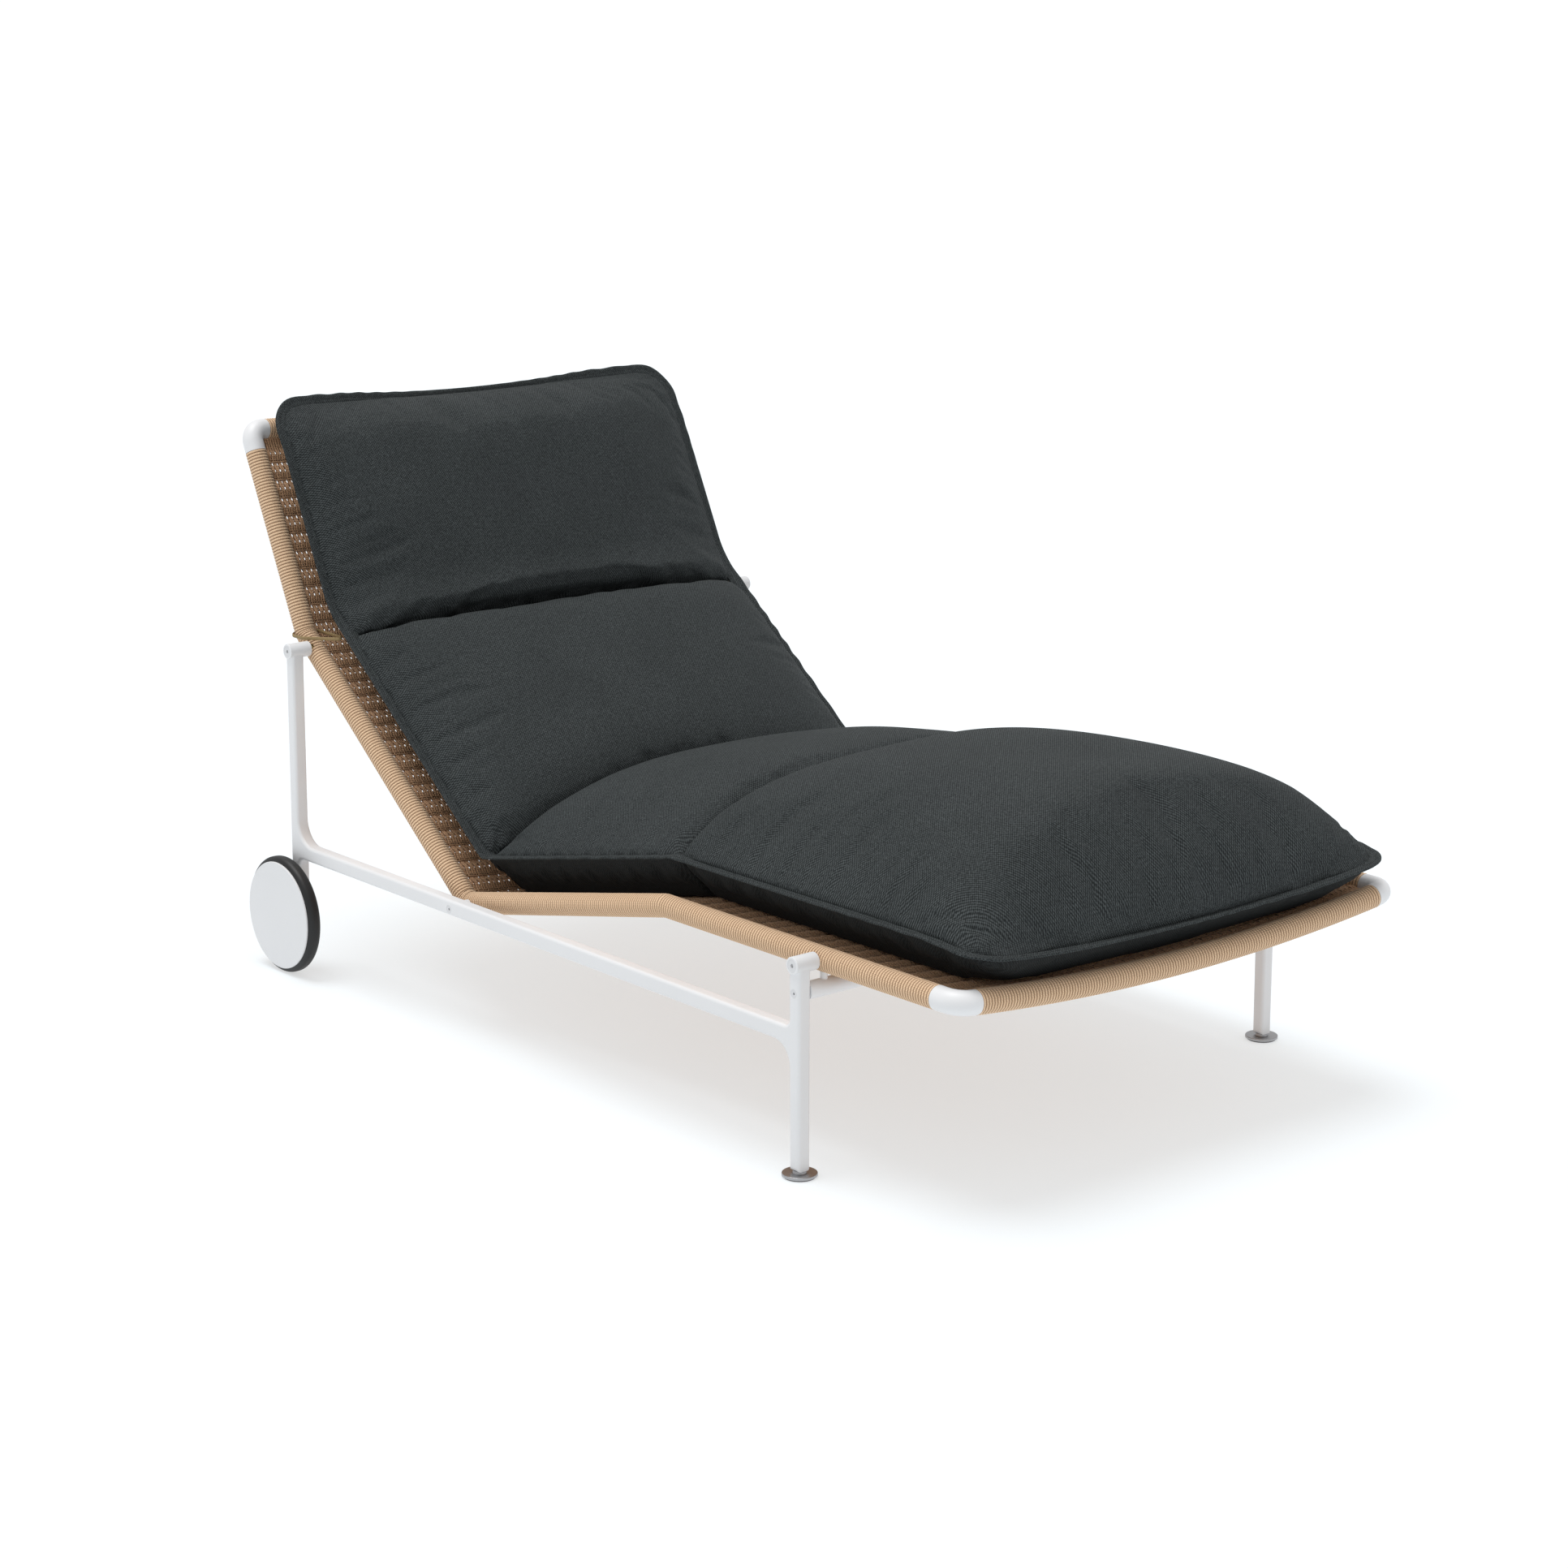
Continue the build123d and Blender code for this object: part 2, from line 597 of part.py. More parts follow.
def wheel_bush():
    body = rod_x(hub_inner(), hub_outer(), REAR_Y, WHEEL_R, BUSH_R - BUSH_GAP)
    return body - rod_x(hub_inner() - CUT, hub_outer() + CUT, REAR_Y, WHEEL_R, AXLE_R + AXLE_GAP)


def cover_inner():
    return WHEEL_X + TYRE_WIDTH / 2 + COVER_GAP


def wheel_cover():
    """Flat round cap with a collar that clips inside the rim."""
    disc = rod_x(cover_inner(), cover_inner() + COVER_THICK, REAR_Y, WHEEL_R, COVER_R)
    rim = disc.edges().filter_by(GeomType.CIRCLE).sort_by(Axis.X)[-1]
    disc = fillet(rim, COVER_ROUND)
    clip_r = RIM_R - RIM_WALL - CLIP_GAP
    clip = rod_x(cover_inner() - CLIP_DEPTH, cover_inner() + COVER_THICK / 2, REAR_Y, WHEEL_R, clip_r)
    clip -= rod_x(cover_inner() - CLIP_DEPTH - CUT, cover_inner(), REAR_Y, WHEEL_R, clip_r - CLIP_WALL)
    return disc + clip


def axle():
    """Shoulder pin: head inside the frame, groove for the retaining ring outside the hub."""
    frame_in = FRAME_X - FRAME_THICK / 2
    head = rod_x(frame_in - AXLE_HEAD, frame_in, REAR_Y, WHEEL_R, AXLE_HEAD_R)
    end = hub_outer() + AXLE_PAST_HUB
    pin = head + rod_x(frame_in - CUT, end, REAR_Y, WHEEL_R, AXLE_R)
    groove_x = hub_outer() + GROOVE_PAST_HUB
    groove = rod_x(groove_x, groove_x + GROOVE_WIDTH, REAR_Y, WHEEL_R, AXLE_R + CUT)
    groove -= rod_x(groove_x, groove_x + GROOVE_WIDTH, REAR_Y, WHEEL_R, AXLE_R - GROOVE_DEPTH)
    return pin - groove


def axle_washers():
    frame_out = FRAME_X + FRAME_THICK / 2
    thin_x = hub_outer() + SIDE_GAP
    bore = rod_x(frame_out - CUT, thin_x + THIN_WASHER + CUT, REAR_Y, WHEEL_R, AXLE_R + BOLT_GAP)
    thick = rod_x(frame_out, frame_out + SPACE_WASHER, REAR_Y, WHEEL_R, WASHER_R) - bore
    thin = rod_x(thin_x, thin_x + THIN_WASHER, REAR_Y, WHEEL_R, WASHER_R) - bore
    return group([thick, thin])


def retaining_ring():
    """Open spring ring in the axle's groove."""
    x0 = hub_outer() + GROOVE_PAST_HUB + (GROOVE_WIDTH - RING_WIDTH) / 2
    body = rod_x(x0, x0 + RING_WIDTH, REAR_Y, WHEEL_R, AXLE_R + RING_PROUD)
    body -= rod_x(x0 - CUT, x0 + RING_WIDTH + CUT, REAR_Y, WHEEL_R, AXLE_R - GROOVE_DEPTH + BOLT_GAP)
    slot = Pos(x0, REAR_Y, WHEEL_R + AXLE_R) * Box(4 * RING_WIDTH, RING_SLOT, 2 * AXLE_R)
    return body - slot


# ---------------------------------------------------------------- feet


def glide():
    """Levelling foot: disc, neck and stud in one."""
    base = Pos(FRAME_X, FRONT_Y, PAD_THICK + GLIDE_THICK / 2) * Cylinder(GLIDE_R, GLIDE_THICK)
    rims = base.edges().filter_by(GeomType.CIRCLE).sort_by(Axis.Z)
    base = fillet(rims[-1], GLIDE_EDGE)
    top = PAD_THICK + GLIDE_THICK
    neck_low = Pos(FRAME_X, FRONT_Y, top) * Circle(GLIDE_NECK_R + GLIDE_EDGE)
    neck_high = Pos(FRAME_X, FRONT_Y, LEG_BOTTOM) * Circle(GLIDE_NECK_R)
    neck = loft([neck_low, neck_high])
    stud = Pos(FRAME_X, FRONT_Y, top + STUD_LENGTH / 2) * Cylinder(STUD_R, STUD_LENGTH)
    return base + neck + stud


def glide_pad():
    return Pos(FRAME_X, FRONT_Y, PAD_THICK / 2) * Cylinder(PAD_R, PAD_THICK)


def foot_insert():
    centre = Pos(FRAME_X, FRONT_Y, LEG_BOTTOM + FOOT_INSERT_LENGTH / 2)
    body = centre * Cylinder(FOOT_INSERT_R, FOOT_INSERT_LENGTH - 2 * INSERT_END_GAP)
    return body - centre * Cylinder(STUD_R + BOLT_GAP, FOOT_INSERT_LENGTH + 2 * CUT)


# ---------------------------------------------------------------- all the nodes


def build():
    nodes = {}
    outer = FRAME_X + FRAME_THICK / 2
    boss_face = outer + BOSS_PROUD
    bolt_end = SHELL_HALF_WIDTH - BOLT_PAST_AXIS
    sides = (("left", -1), ("right", 1))

    for name, side in sides:
        room = bolt_room(side)
        nodes[f"side_frame_{name}"] = side_frame(side)
        nodes[f"side_tube_{name}"] = side_tube(side) - room
        for i, part in enumerate(PARTS_OF_SHELL):
            nodes[f"cord_wrap_{part}_{name}"] = side_wrap(i, side) - room
        for end in ("foot", "head"):
            nodes[f"{end}_elbow_{name}"] = elbow(end, side)
        nodes[f"neck_strap_{name}"] = neck_strap(side)

    for end in ("foot", "head"):
        nodes[f"{end}_bar"] = end_bar(end, TUBE_R, TUBE_R - TUBE_WALL)
        nodes[f"cord_wrap_{end}_bar"] = end_bar(end, WRAP_R, TUBE_R + WRAP_GAP)
    for i, part in enumerate(PARTS_OF_SHELL):
        nodes[f"woven_{part}"] = deck_panel(i)
        cushion = cushion_section(i)
        if part == "leg":
            cushion -= end_clearance("foot")
        if part == "head":
            cushion -= end_clearance("head")
        nodes[f"cushion_{part}"] = cushion

    boss_bolts = []
    spacers = []
    inserts = []
    for y, z, radius in shell_points():
        inserts += both_sides(shell_insert(y, z, radius))
        at_boss = radius == BOSS_BOLT_R
        spacers += both_sides(spacer(y, z, BOSS_R if at_boss else SMALL_SPACER_R, radius))
        if at_boss:
            boss_bolts += both_sides(bolt(boss_face, bolt_end, y, z, radius, BOSS_BOLT_HEAD_R, BOSS_KEY))
    nodes["shell_inserts"] = group(inserts)
    nodes["shell_spacers"] = group(spacers)
    nodes["boss_bolts"] = group(boss_bolts)
    corner = bolt(outer, bolt_end, CORNER_BOLT_Y, corner_height(), SMALL_BOLT_R, SMALL_BOLT_HEAD_R, SMALL_KEY)
    nodes["corner_bolts"] = group(both_sides(corner))
    cross_end = FRAME_X - FRAME_THICK / 2 - PLUG_THREAD
    cross = bolt(outer, cross_end, FRONT_Y, CROSSBAR_Z, SMALL_BOLT_R, SMALL_BOLT_HEAD_R, SMALL_KEY)
    nodes["crossbar_bolts"] = group(both_sides(cross))
    nodes["front_crossbar"] = front_crossbar()
    nodes["crossbar_plugs"] = group(both_sides(crossbar_plug()))
    nodes["stand_offs"] = group(both_sides(stand_off()))

    turning = {
        "wheel_tyre": tyre(),
        "wheel_rim": wheel_rim(),
        "wheel_bush": wheel_bush(),
        "wheel_cover": wheel_cover(),
        "wheel_axle": axle(),
        "axle_ring": retaining_ring(),
        "glide": glide(),
        "glide_pad": glide_pad(),
        "glide_insert": foot_insert(),
    }
    for name, shape in turning.items():
        nodes[f"{name}_right"] = shape
        nodes[f"{name}_left"] = mirror_x(shape)
    washers = axle_washers().solids()
    nodes["axle_washers"] = group(list(washers) + [mirror_x(w) for w in washers])
    return nodes


os.makedirs("parts", exist_ok=True)
for node_name, node_shape in build().items():
    export_step(node_shape, f"parts/{node_name}.step")
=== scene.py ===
import json
from math import atan2, cos, pi, radians, sin, tan

import bpy
import numpy as np
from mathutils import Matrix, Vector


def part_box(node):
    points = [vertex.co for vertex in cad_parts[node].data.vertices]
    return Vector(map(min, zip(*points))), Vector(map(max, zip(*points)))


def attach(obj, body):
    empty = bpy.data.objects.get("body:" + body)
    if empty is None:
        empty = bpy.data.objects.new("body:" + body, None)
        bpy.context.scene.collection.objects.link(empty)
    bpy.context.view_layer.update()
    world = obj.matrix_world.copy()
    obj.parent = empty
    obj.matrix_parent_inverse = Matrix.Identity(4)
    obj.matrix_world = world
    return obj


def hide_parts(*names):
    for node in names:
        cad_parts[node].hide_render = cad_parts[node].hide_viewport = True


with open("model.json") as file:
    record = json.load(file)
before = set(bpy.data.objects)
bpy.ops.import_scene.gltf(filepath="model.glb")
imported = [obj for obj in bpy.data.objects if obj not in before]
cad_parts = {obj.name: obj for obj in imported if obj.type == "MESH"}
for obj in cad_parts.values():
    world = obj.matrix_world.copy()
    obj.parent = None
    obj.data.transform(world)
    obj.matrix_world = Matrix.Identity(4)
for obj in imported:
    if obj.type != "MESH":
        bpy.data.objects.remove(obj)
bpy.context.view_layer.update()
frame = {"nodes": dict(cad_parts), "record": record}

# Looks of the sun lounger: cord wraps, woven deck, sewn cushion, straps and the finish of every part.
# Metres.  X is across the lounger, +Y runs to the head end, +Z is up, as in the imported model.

BODY = "lounger_frame"

# ---- side view of the shell, the same five points (y, z) as in the part's source
PROFILE = np.array([
    (-0.7714, 0.266),
    (-0.2294, 0.264),
    (0.2096, 0.171),
    (0.6136, 0.485),
    (0.7526, 0.767),
])
SECTIONS = ("leg", "seat", "back", "head")
NECK = 3  # index of the neck bend

# ---- tubes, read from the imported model
WRAP_LOW, WRAP_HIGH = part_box("cord_wrap_leg_right")
HALF_WIDTH = (WRAP_LOW.x + WRAP_HIGH.x) / 2
WRAP_R = (WRAP_HIGH.x - WRAP_LOW.x) / 2
TUBE_R = (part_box("side_tube_right")[1].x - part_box("side_tube_right")[0].x) / 2
ELBOW_SIDE = 0.034

# ---- cord
CORD_PITCH = 0.0045
WRAP_AROUND = 14
BEND_R = 0.030

# ---- end bars: dip of the dished deck below the side tubes' axes
BAR_TILT = radians(6.0)
ELBOW_END = 0.026


def bar_dip():
    """How far an end bar's middle lies below its corner points."""
    half = HALF_WIDTH - ELBOW_END * cos(BAR_TILT)
    return ELBOW_END * sin(BAR_TILT) + half * tan(BAR_TILT / 2)


DIP = bar_dip()


def dish(x):
    """Height of the deck's middle surface at x, from the side tubes' axes."""
    return -DIP * (1 - (x / HALF_WIDTH) ** 2)


# ---------------------------------------------------------------- places on the shell


def run_direction(i):
    """Unit vector (y, z) along run i."""
    step = PROFILE[i + 1] - PROFILE[i]
    return step / np.linalg.norm(step)


def run_length(i):
    return float(np.linalg.norm(PROFILE[i + 1] - PROFILE[i]))


def bend_angle(i):
    """Turn at point i of the profile, positive where the shell turns upwards."""
    before, after = run_direction(i - 1), run_direction(i)
    return atan2(after[1], after[0]) - atan2(before[1], before[0])


def place(i, x, s, n):
    """World points from x, the distance s along run i, and the height n out of the deck."""
    x, s, n = np.broadcast_arrays(x, s, n)
    along = run_direction(i)
    y = PROFILE[i][0] + s * along[0] - n * along[1]
    z = PROFILE[i][1] + s * along[1] + n * along[0]
    return np.stack([x, y, z], axis=-1)


def find_place(i, points):
    """The x, s and n of world points, in run i."""
    along = run_direction(i)
    dy = points[:, 1] - PROFILE[i][0]
    dz = points[:, 2] - PROFILE[i][1]
    return points[:, 0], dy * along[0] + dz * along[1], dz * along[0] - dy * along[1]


def rounded_place(i, x, s, n, radius):
    """As place, but s is measured from bend i and the bend is an arc of that radius at n = 0."""
    x, s, n = np.broadcast_arrays(x, s, n)
    angle = bend_angle(i)
    reach = radius * tan(abs(angle) / 2)
    arc = radius * abs(angle)
    before = place(i - 1, x, run_length(i - 1) + s, n)
    after = place(i, x, s - arc + 2 * reach, n)
    turn = np.clip((s + reach) / arc, 0, 1) * abs(angle)
    start = place(i - 1, x, run_length(i - 1) - reach, 0 * n)
    along = run_direction(i - 1)
    sign = 1 if angle > 0 else -1
    up = np.array([-along[1], along[0]]) * sign
    centre = start[..., 1:] + up * radius
    level = radius - sign * n
    offset_along = np.sin(turn) * level
    offset_up = -np.cos(turn) * level
    bent = centre + offset_along[..., None] * along + offset_up[..., None] * up
    middle = np.concatenate([x[..., None], bent], axis=-1)
    on_arc = (s > -reach) & (s < arc - reach)
    result = np.where((s <= -reach)[..., None], before, after)
    return np.where(on_arc[..., None], middle, result)


# ---------------------------------------------------------------- meshes


def make_object(name, points, faces, smooth=True):
    mesh = bpy.data.meshes.new(name)
    mesh.from_pydata([tuple(p) for p in points], [], [tuple(f) for f in faces])
    mesh.update()
    mesh.polygons.foreach_set("use_smooth", [smooth] * len(mesh.polygons))
    obj = bpy.data.objects.new(name, mesh)
    bpy.context.scene.collection.objects.link(obj)
    return obj


def grid_faces(rows, columns, wrap_rows=False):
    """Quads of a grid of points stored row by row; each row is a closed ring."""
    row = np.arange(rows if wrap_rows else rows - 1)
    r, c = np.meshgrid(row, np.arange(columns), indexing="ij")
    r2, c2 = (r + 1) % rows, (c + 1) % columns
    quads = [r * columns + c, r * columns + c2, r2 * columns + c2, r2 * columns + c]
    return np.stack(quads, axis=-1).reshape(-1, 4)


def set_uv(obj, u, v):
    """Texture coordinates of a cord: u runs along it, and v is whole in a groove and a half on a crest."""
    mesh = obj.data
    layer = mesh.uv_layers.new(name="cord")
    index = np.zeros(len(mesh.loops), int)
    mesh.loops.foreach_get("vertex_index", index)
    layer.data.foreach_set("uv", np.stack([u[index], v[index]], axis=-1).ravel())


def take_finish(obj, slot, *nodes):
    """A finished piece rides on the frame, shows its slot's material and stands for CAD nodes."""
    obj.data.materials.clear()
    obj.data.materials.append(materials[slot])
    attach(obj, BODY)
    if nodes:
        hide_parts(*nodes)
    return obj


# ---------------------------------------------------------------- materials


class Paint:
    """A node material in the making."""

    def __init__(self, name, colour, roughness, metallic=0.0):
        self.material = bpy.data.materials.new(name)
        self.material.use_nodes = True
        self.nodes = self.material.node_tree.nodes
        self.links = self.material.node_tree.links
        self.shader = self.nodes["Principled BSDF"]
        self.shader.inputs["Base Color"].default_value = (*colour, 1)
        self.shader.inputs["Roughness"].default_value = roughness
        self.shader.inputs["Metallic"].default_value = metallic
        coordinates = self.nodes.new("ShaderNodeTexCoord")
        self.place = coordinates.outputs["Object"]

    def feed(self, socket, value):
        if isinstance(value, bpy.types.NodeSocket):
            self.links.new(value, socket)
        elif value is not None:
            socket.default_value = value

    def sum(self, operation, a, b=None, c=None):
        node = self.nodes.new("ShaderNodeMath")
        node.operation = operation
        for socket, value in zip(node.inputs, (a, b, c)):
            self.feed(socket, value)
        return node.outputs[0]

    def noise(self, scale, detail=2.0, stretch=None):
        """Noise about zero, from -1 to 1."""
        node = self.nodes.new("ShaderNodeTexNoise")
        node.inputs["Scale"].default_value = scale
        node.inputs["Detail"].default_value = detail
        vector = self.place
        if stretch:
            mapping = self.nodes.new("ShaderNodeMapping")
            mapping.inputs["Scale"].default_value = stretch
            self.links.new(vector, mapping.inputs["Vector"])
            vector = mapping.outputs["Vector"]
        self.links.new(vector, node.inputs["Vector"])
        return self.sum("MULTIPLY_ADD", node.outputs[0], 2.0, -1.0)

    def mix(self, factor, a, b):
        node = self.nodes.new("ShaderNodeMix")
        node.data_type = "RGBA"
        node.clamp_factor = True
        colours = [socket for socket in node.inputs if socket.type == "RGBA"]
        self.feed(node.inputs[0], factor)
        self.feed(colours[0], (*a, 1) if isinstance(a, tuple) else a)
        self.feed(colours[1], (*b, 1) if isinstance(b, tuple) else b)
        return [socket for socket in node.outputs if socket.type == "RGBA"][0]

    def colour(self, value):
        self.links.new(value, self.shader.inputs["Base Color"])

    def roughness(self, value):
        self.links.new(value, self.shader.inputs["Roughness"])

    def bump(self, height, distance, strength=1.0):
        node = self.nodes.new("ShaderNodeBump")
        node.inputs["Strength"].default_value = strength
        node.inputs["Distance"].default_value = distance
        self.links.new(height, node.inputs["Height"])
        self.links.new(node.outputs[0], self.shader.inputs["Normal"])

    def attribute(self, name):
        node = self.nodes.new("ShaderNodeAttribute")
        node.attribute_name = name
        split = self.nodes.new("ShaderNodeSeparateXYZ")
        self.links.new(node.outputs["Vector"], split.inputs[0])
        return split.outputs[0], split.outputs[1], split.outputs[2]

    def uv(self):
        node = self.nodes.new("ShaderNodeUVMap")
        node.uv_map = "cord"
        split = self.nodes.new("ShaderNodeSeparateXYZ")
        self.links.new(node.outputs[0], split.inputs[0])
        return split.outputs[0], split.outputs[1]


def powder_coat(name, colour, roughness=0.42):
    """Satin powder coat: fine orange peel, and faint clouds in colour and gloss."""
    paint = Paint(name, colour, roughness)
    clouds = paint.noise(6.0, 3.0)
    darker = tuple(0.94 * c for c in colour)
    paint.colour(paint.mix(paint.sum("MULTIPLY_ADD", clouds, 0.5, 0.5), darker, colour))
    paint.roughness(paint.sum("MULTIPLY_ADD", paint.noise(40.0), 0.06, roughness))
    paint.bump(paint.noise(900.0, 1.0), 0.00006)
    return paint.material


def brushed(name, colour, roughness):
    """Turned or ground metal: fine lines round upright parts."""
    paint = Paint(name, colour, roughness, metallic=1.0)
    lines = paint.noise(300.0, 3.0, stretch=(1.0, 1.0, 12.0))
    paint.roughness(paint.sum("MULTIPLY_ADD", lines, 0.10, roughness))
    darker = tuple(0.8 * c for c in colour)
    paint.colour(paint.mix(paint.sum("MULTIPLY_ADD", lines, 0.5, 0.5), darker, colour))
    paint.bump(lines, 0.00003)
    return paint.material


def moulded(name, colour, roughness):
    """Moulded plastic or rubber: fine grain and a slightly uneven gloss."""
    paint = Paint(name, colour, roughness)
    patches = paint.noise(25.0, 3.0)
    lighter = tuple(1.5 * c for c in colour)
    paint.colour(paint.mix(paint.sum("MULTIPLY_ADD", patches, 0.35, 0.35), colour, lighter))
    paint.roughness(paint.sum("MULTIPLY_ADD", patches, 0.08, roughness))
    paint.bump(paint.noise(500.0, 2.0), 0.00008)
    return paint.material


STRAND_LAY = 0.0032  # length along the cord between two of its twisted strands
CRESTS = (0.50, 0.45)  # powers that widen the light part of a wound turn and of a woven strand; the rest takes painted shade


def cord_paint(name, light, dark, grey, crest_power):
    """Twisted outdoor cord: slanted strands, light and grey fibres, and painted shade in the grooves between
    the turns.
    """
    paint = Paint(name, light, 0.72)
    u, v = paint.uv()
    round_turn = paint.sum("COSINE", paint.sum("MULTIPLY", v, 2 * pi))
    crest = paint.sum("MULTIPLY_ADD", round_turn, -0.5, 0.5)
    twist = paint.sum("MULTIPLY_ADD", v, 2 * pi, paint.sum("MULTIPLY", u, 2 * pi / STRAND_LAY))
    strands = paint.sum("SINE", twist)
    fibres = paint.noise(700.0, 3.0)
    patches = paint.noise(60.0, 3.0)
    tone = paint.sum("MULTIPLY_ADD", strands, 0.22, paint.sum("MULTIPLY_ADD", fibres, 0.9, 0.42))
    fibre_mix = paint.mix(tone, grey, light)
    faded = paint.mix(paint.sum("MULTIPLY_ADD", patches, 0.6, 0.10), fibre_mix, grey)
    # painted shade: the dark colour lies where crest is low, in the grooves between turns and at the sides of
    # woven strands
    paint.colour(paint.mix(paint.sum("POWER", crest, crest_power), dark, faded))
    height = paint.sum("MULTIPLY_ADD", strands, 0.5, paint.sum("MULTIPLY", fibres, 0.6))
    paint.bump(height, 0.0005)
    paint.shader.inputs["Sheen Weight"].default_value = 0.15
    return paint.material


WEAVE_CELL = 0.0018  # half a period of the basket weave
# strength of the painted shade on the cushion's side panels, below the seam
PANEL_SHADE = 0.75


def fabric_paint(name, dark, light):
    """Charcoal basket weave, with its light and dark threads crossing, and painted shade on the side panels
    below the seam.
    """
    paint = Paint(name, dark, 0.86)
    along, across, side_shade = paint.attribute("weave")
    turn = pi / WEAVE_CELL
    wave_a = paint.sum("SINE", paint.sum("MULTIPLY", along, turn))
    wave_b = paint.sum("SINE", paint.sum("MULTIPLY", across, turn))
    over = paint.sum("MULTIPLY", wave_a, wave_b)
    slubs = paint.noise(420.0, 2.0)
    clouds = paint.noise(9.0, 3.0)
    threads = paint.sum("MULTIPLY_ADD", over, 0.62, paint.sum("MULTIPLY_ADD", slubs, 0.80, 0.32))
    woven = paint.mix(threads, dark, light)
    faded = paint.mix(paint.sum("MULTIPLY_ADD", clouds, 0.25, 0.10), woven, dark)
    # painted shade: the side panels are darkened towards this colour by the third value of the weave
    # attribute
    side_shade_colour = tuple(0.30 * c for c in dark)
    paint.colour(paint.mix(paint.sum("MULTIPLY", side_shade, PANEL_SHADE), faded, side_shade_colour))
    paint.bump(paint.sum("MULTIPLY_ADD", slubs, 0.4, over), 0.0003, 0.6)
    paint.shader.inputs["Specular IOR Level"].default_value = 0.25
    return paint.material


RIB_PITCH = 0.0016


def elastic_paint(name, dark, light):
    """Braided elastic: fine slanted ribs."""
    paint = Paint(name, dark, 0.6)
    split = paint.nodes.new("ShaderNodeSeparateXYZ")
    paint.links.new(paint.place, split.inputs[0])
    slant = paint.sum("ADD", split.outputs[1], paint.sum("MULTIPLY", split.outputs[2], 0.6))
    ribs = paint.sum("SINE", paint.sum("MULTIPLY", slant, 2 * pi / RIB_PITCH))
    paint.colour(paint.mix(paint.sum("MULTIPLY_ADD", ribs, 0.5, 0.5), dark, light))
    paint.bump(ribs, 0.0002)
    return paint.material


def make_materials():
    return {
        "white_powder_coat": powder_coat("white_powder_coat", (0.81, 0.81, 0.82)),
        "white_cover": powder_coat("white_cover", (0.78, 0.78, 0.79), 0.38),
        "white_screws": powder_coat("white_screws", (0.72, 0.72, 0.73), 0.36),
        # natural cord: light colour, painted shade for the grooves between turns, grey
        "natural_cord": cord_paint(
            "natural_cord", (0.95, 0.69, 0.45), (0.25, 0.115, 0.05), (0.80, 0.55, 0.34), CRESTS[0]),
        # woven cord: light colour, painted shade for the sides of each strand and crossing cord, grey
        "woven_cord": cord_paint(
            "woven_cord", (0.88, 0.55, 0.32), (0.12, 0.05, 0.022), (0.64, 0.37, 0.20), CRESTS[1]),
        "cushion_fabric": fabric_paint("cushion_fabric", (0.009, 0.0115, 0.012), (0.081, 0.092, 0.094)),
        "elastic": elastic_paint("elastic", (0.20, 0.13, 0.05), (0.45, 0.32, 0.15)),
        "tyre_rubber": moulded("tyre_rubber", (0.004, 0.004, 0.0045), 0.50),
        "wheel_plastic": moulded("wheel_plastic", (0.03, 0.03, 0.032), 0.5),
        "bush_plastic": moulded("bush_plastic", (0.55, 0.54, 0.50), 0.5),
        "foot_pad": moulded("foot_pad", (0.12, 0.12, 0.125), 0.7),
        "brass_insert": brushed("brass_insert", (0.70, 0.50, 0.22), 0.35),
        "satin_steel": brushed("satin_steel", (0.46, 0.46, 0.47), 0.38),
        "axle_steel": brushed("axle_steel", (0.52, 0.52, 0.54), 0.30),
    }


def finish_cad_nodes():
    """Every part that shows its CAD shape takes the material of its slot."""
    slots = {row["node"]: row["material_slot"] for row in frame["record"]["subparts"]}
    for node, obj in frame["nodes"].items():
        obj.data.materials.clear()
        obj.data.materials.append(materials[slots[node]])


# ---------------------------------------------------------------- cord wound on the tubes

TURN_PHASES = (0.0, 0.14, 0.36, 0.64, 0.86)  # samples of a turn, as shares of the pitch
GROOVE = 0.0014  # depth between two turns
TUBE_GAP = 0.0001  # between the tube and the inside of the wrap
INSIDE_EVERY = 8  # the inside has a ring for every eighth one outside
LOOK_AHEAD = 0.0005  # step for a path's direction
BEND_STEPS = 9


def wound_tube(name, centre, across, start_s, stop_s):
    """Turns of cord side by side; centre(s) gives points, across is a direction square to the path."""
    turns = round((stop_s - start_s) / CORD_PITCH)
    pitch = (stop_s - start_s) / turns
    phases = (np.arange(turns)[:, None] + np.array(TURN_PHASES)).ravel()
    phases = np.append(phases, turns)
    s = start_s + phases * pitch
    share = 2 * np.abs((phases % 1.0) - 0.5)
    radius = WRAP_R - GROOVE * (1 - np.sqrt(np.clip(1 - share**2, 0, 1)))
    s = np.concatenate([s, s[::-1]])
    radius = np.concatenate([radius, np.full(len(radius), TUBE_R + TUBE_GAP)])
    inner = len(phases) + np.arange(0, len(phases), INSIDE_EVERY)
    keep = np.unique(np.concatenate([np.arange(len(phases)), inner, [len(s) - 1]]))
    s, radius = s[keep], radius[keep]
    points = centre(s)
    ahead = centre(s + LOOK_AHEAD) - centre(s - LOOK_AHEAD)
    ahead /= np.linalg.norm(ahead, axis=1, keepdims=True)
    side = np.broadcast_to(np.array(across, float), points.shape)
    third = np.cross(ahead, side)
    angle = np.arange(WRAP_AROUND) * 2 * pi / WRAP_AROUND
    ring = np.cos(angle)[None, :, None] * side[:, None] + np.sin(angle)[None, :, None] * third[:, None]
    vertices = points[:, None] + radius[:, None, None] * ring
    faces = grid_faces(len(s), WRAP_AROUND, wrap_rows=True)
    obj = make_object(name, vertices.reshape(-1, 3), faces)
    u = np.broadcast_to(np.abs(angle - pi) * WRAP_R, (len(s), WRAP_AROUND))
    turn = np.concatenate([phases, phases[::-1]])[keep]
    v = np.broadcast_to(turn[:, None], (len(s), WRAP_AROUND))
    set_uv(obj, u.ravel(), v.ravel())
    return obj


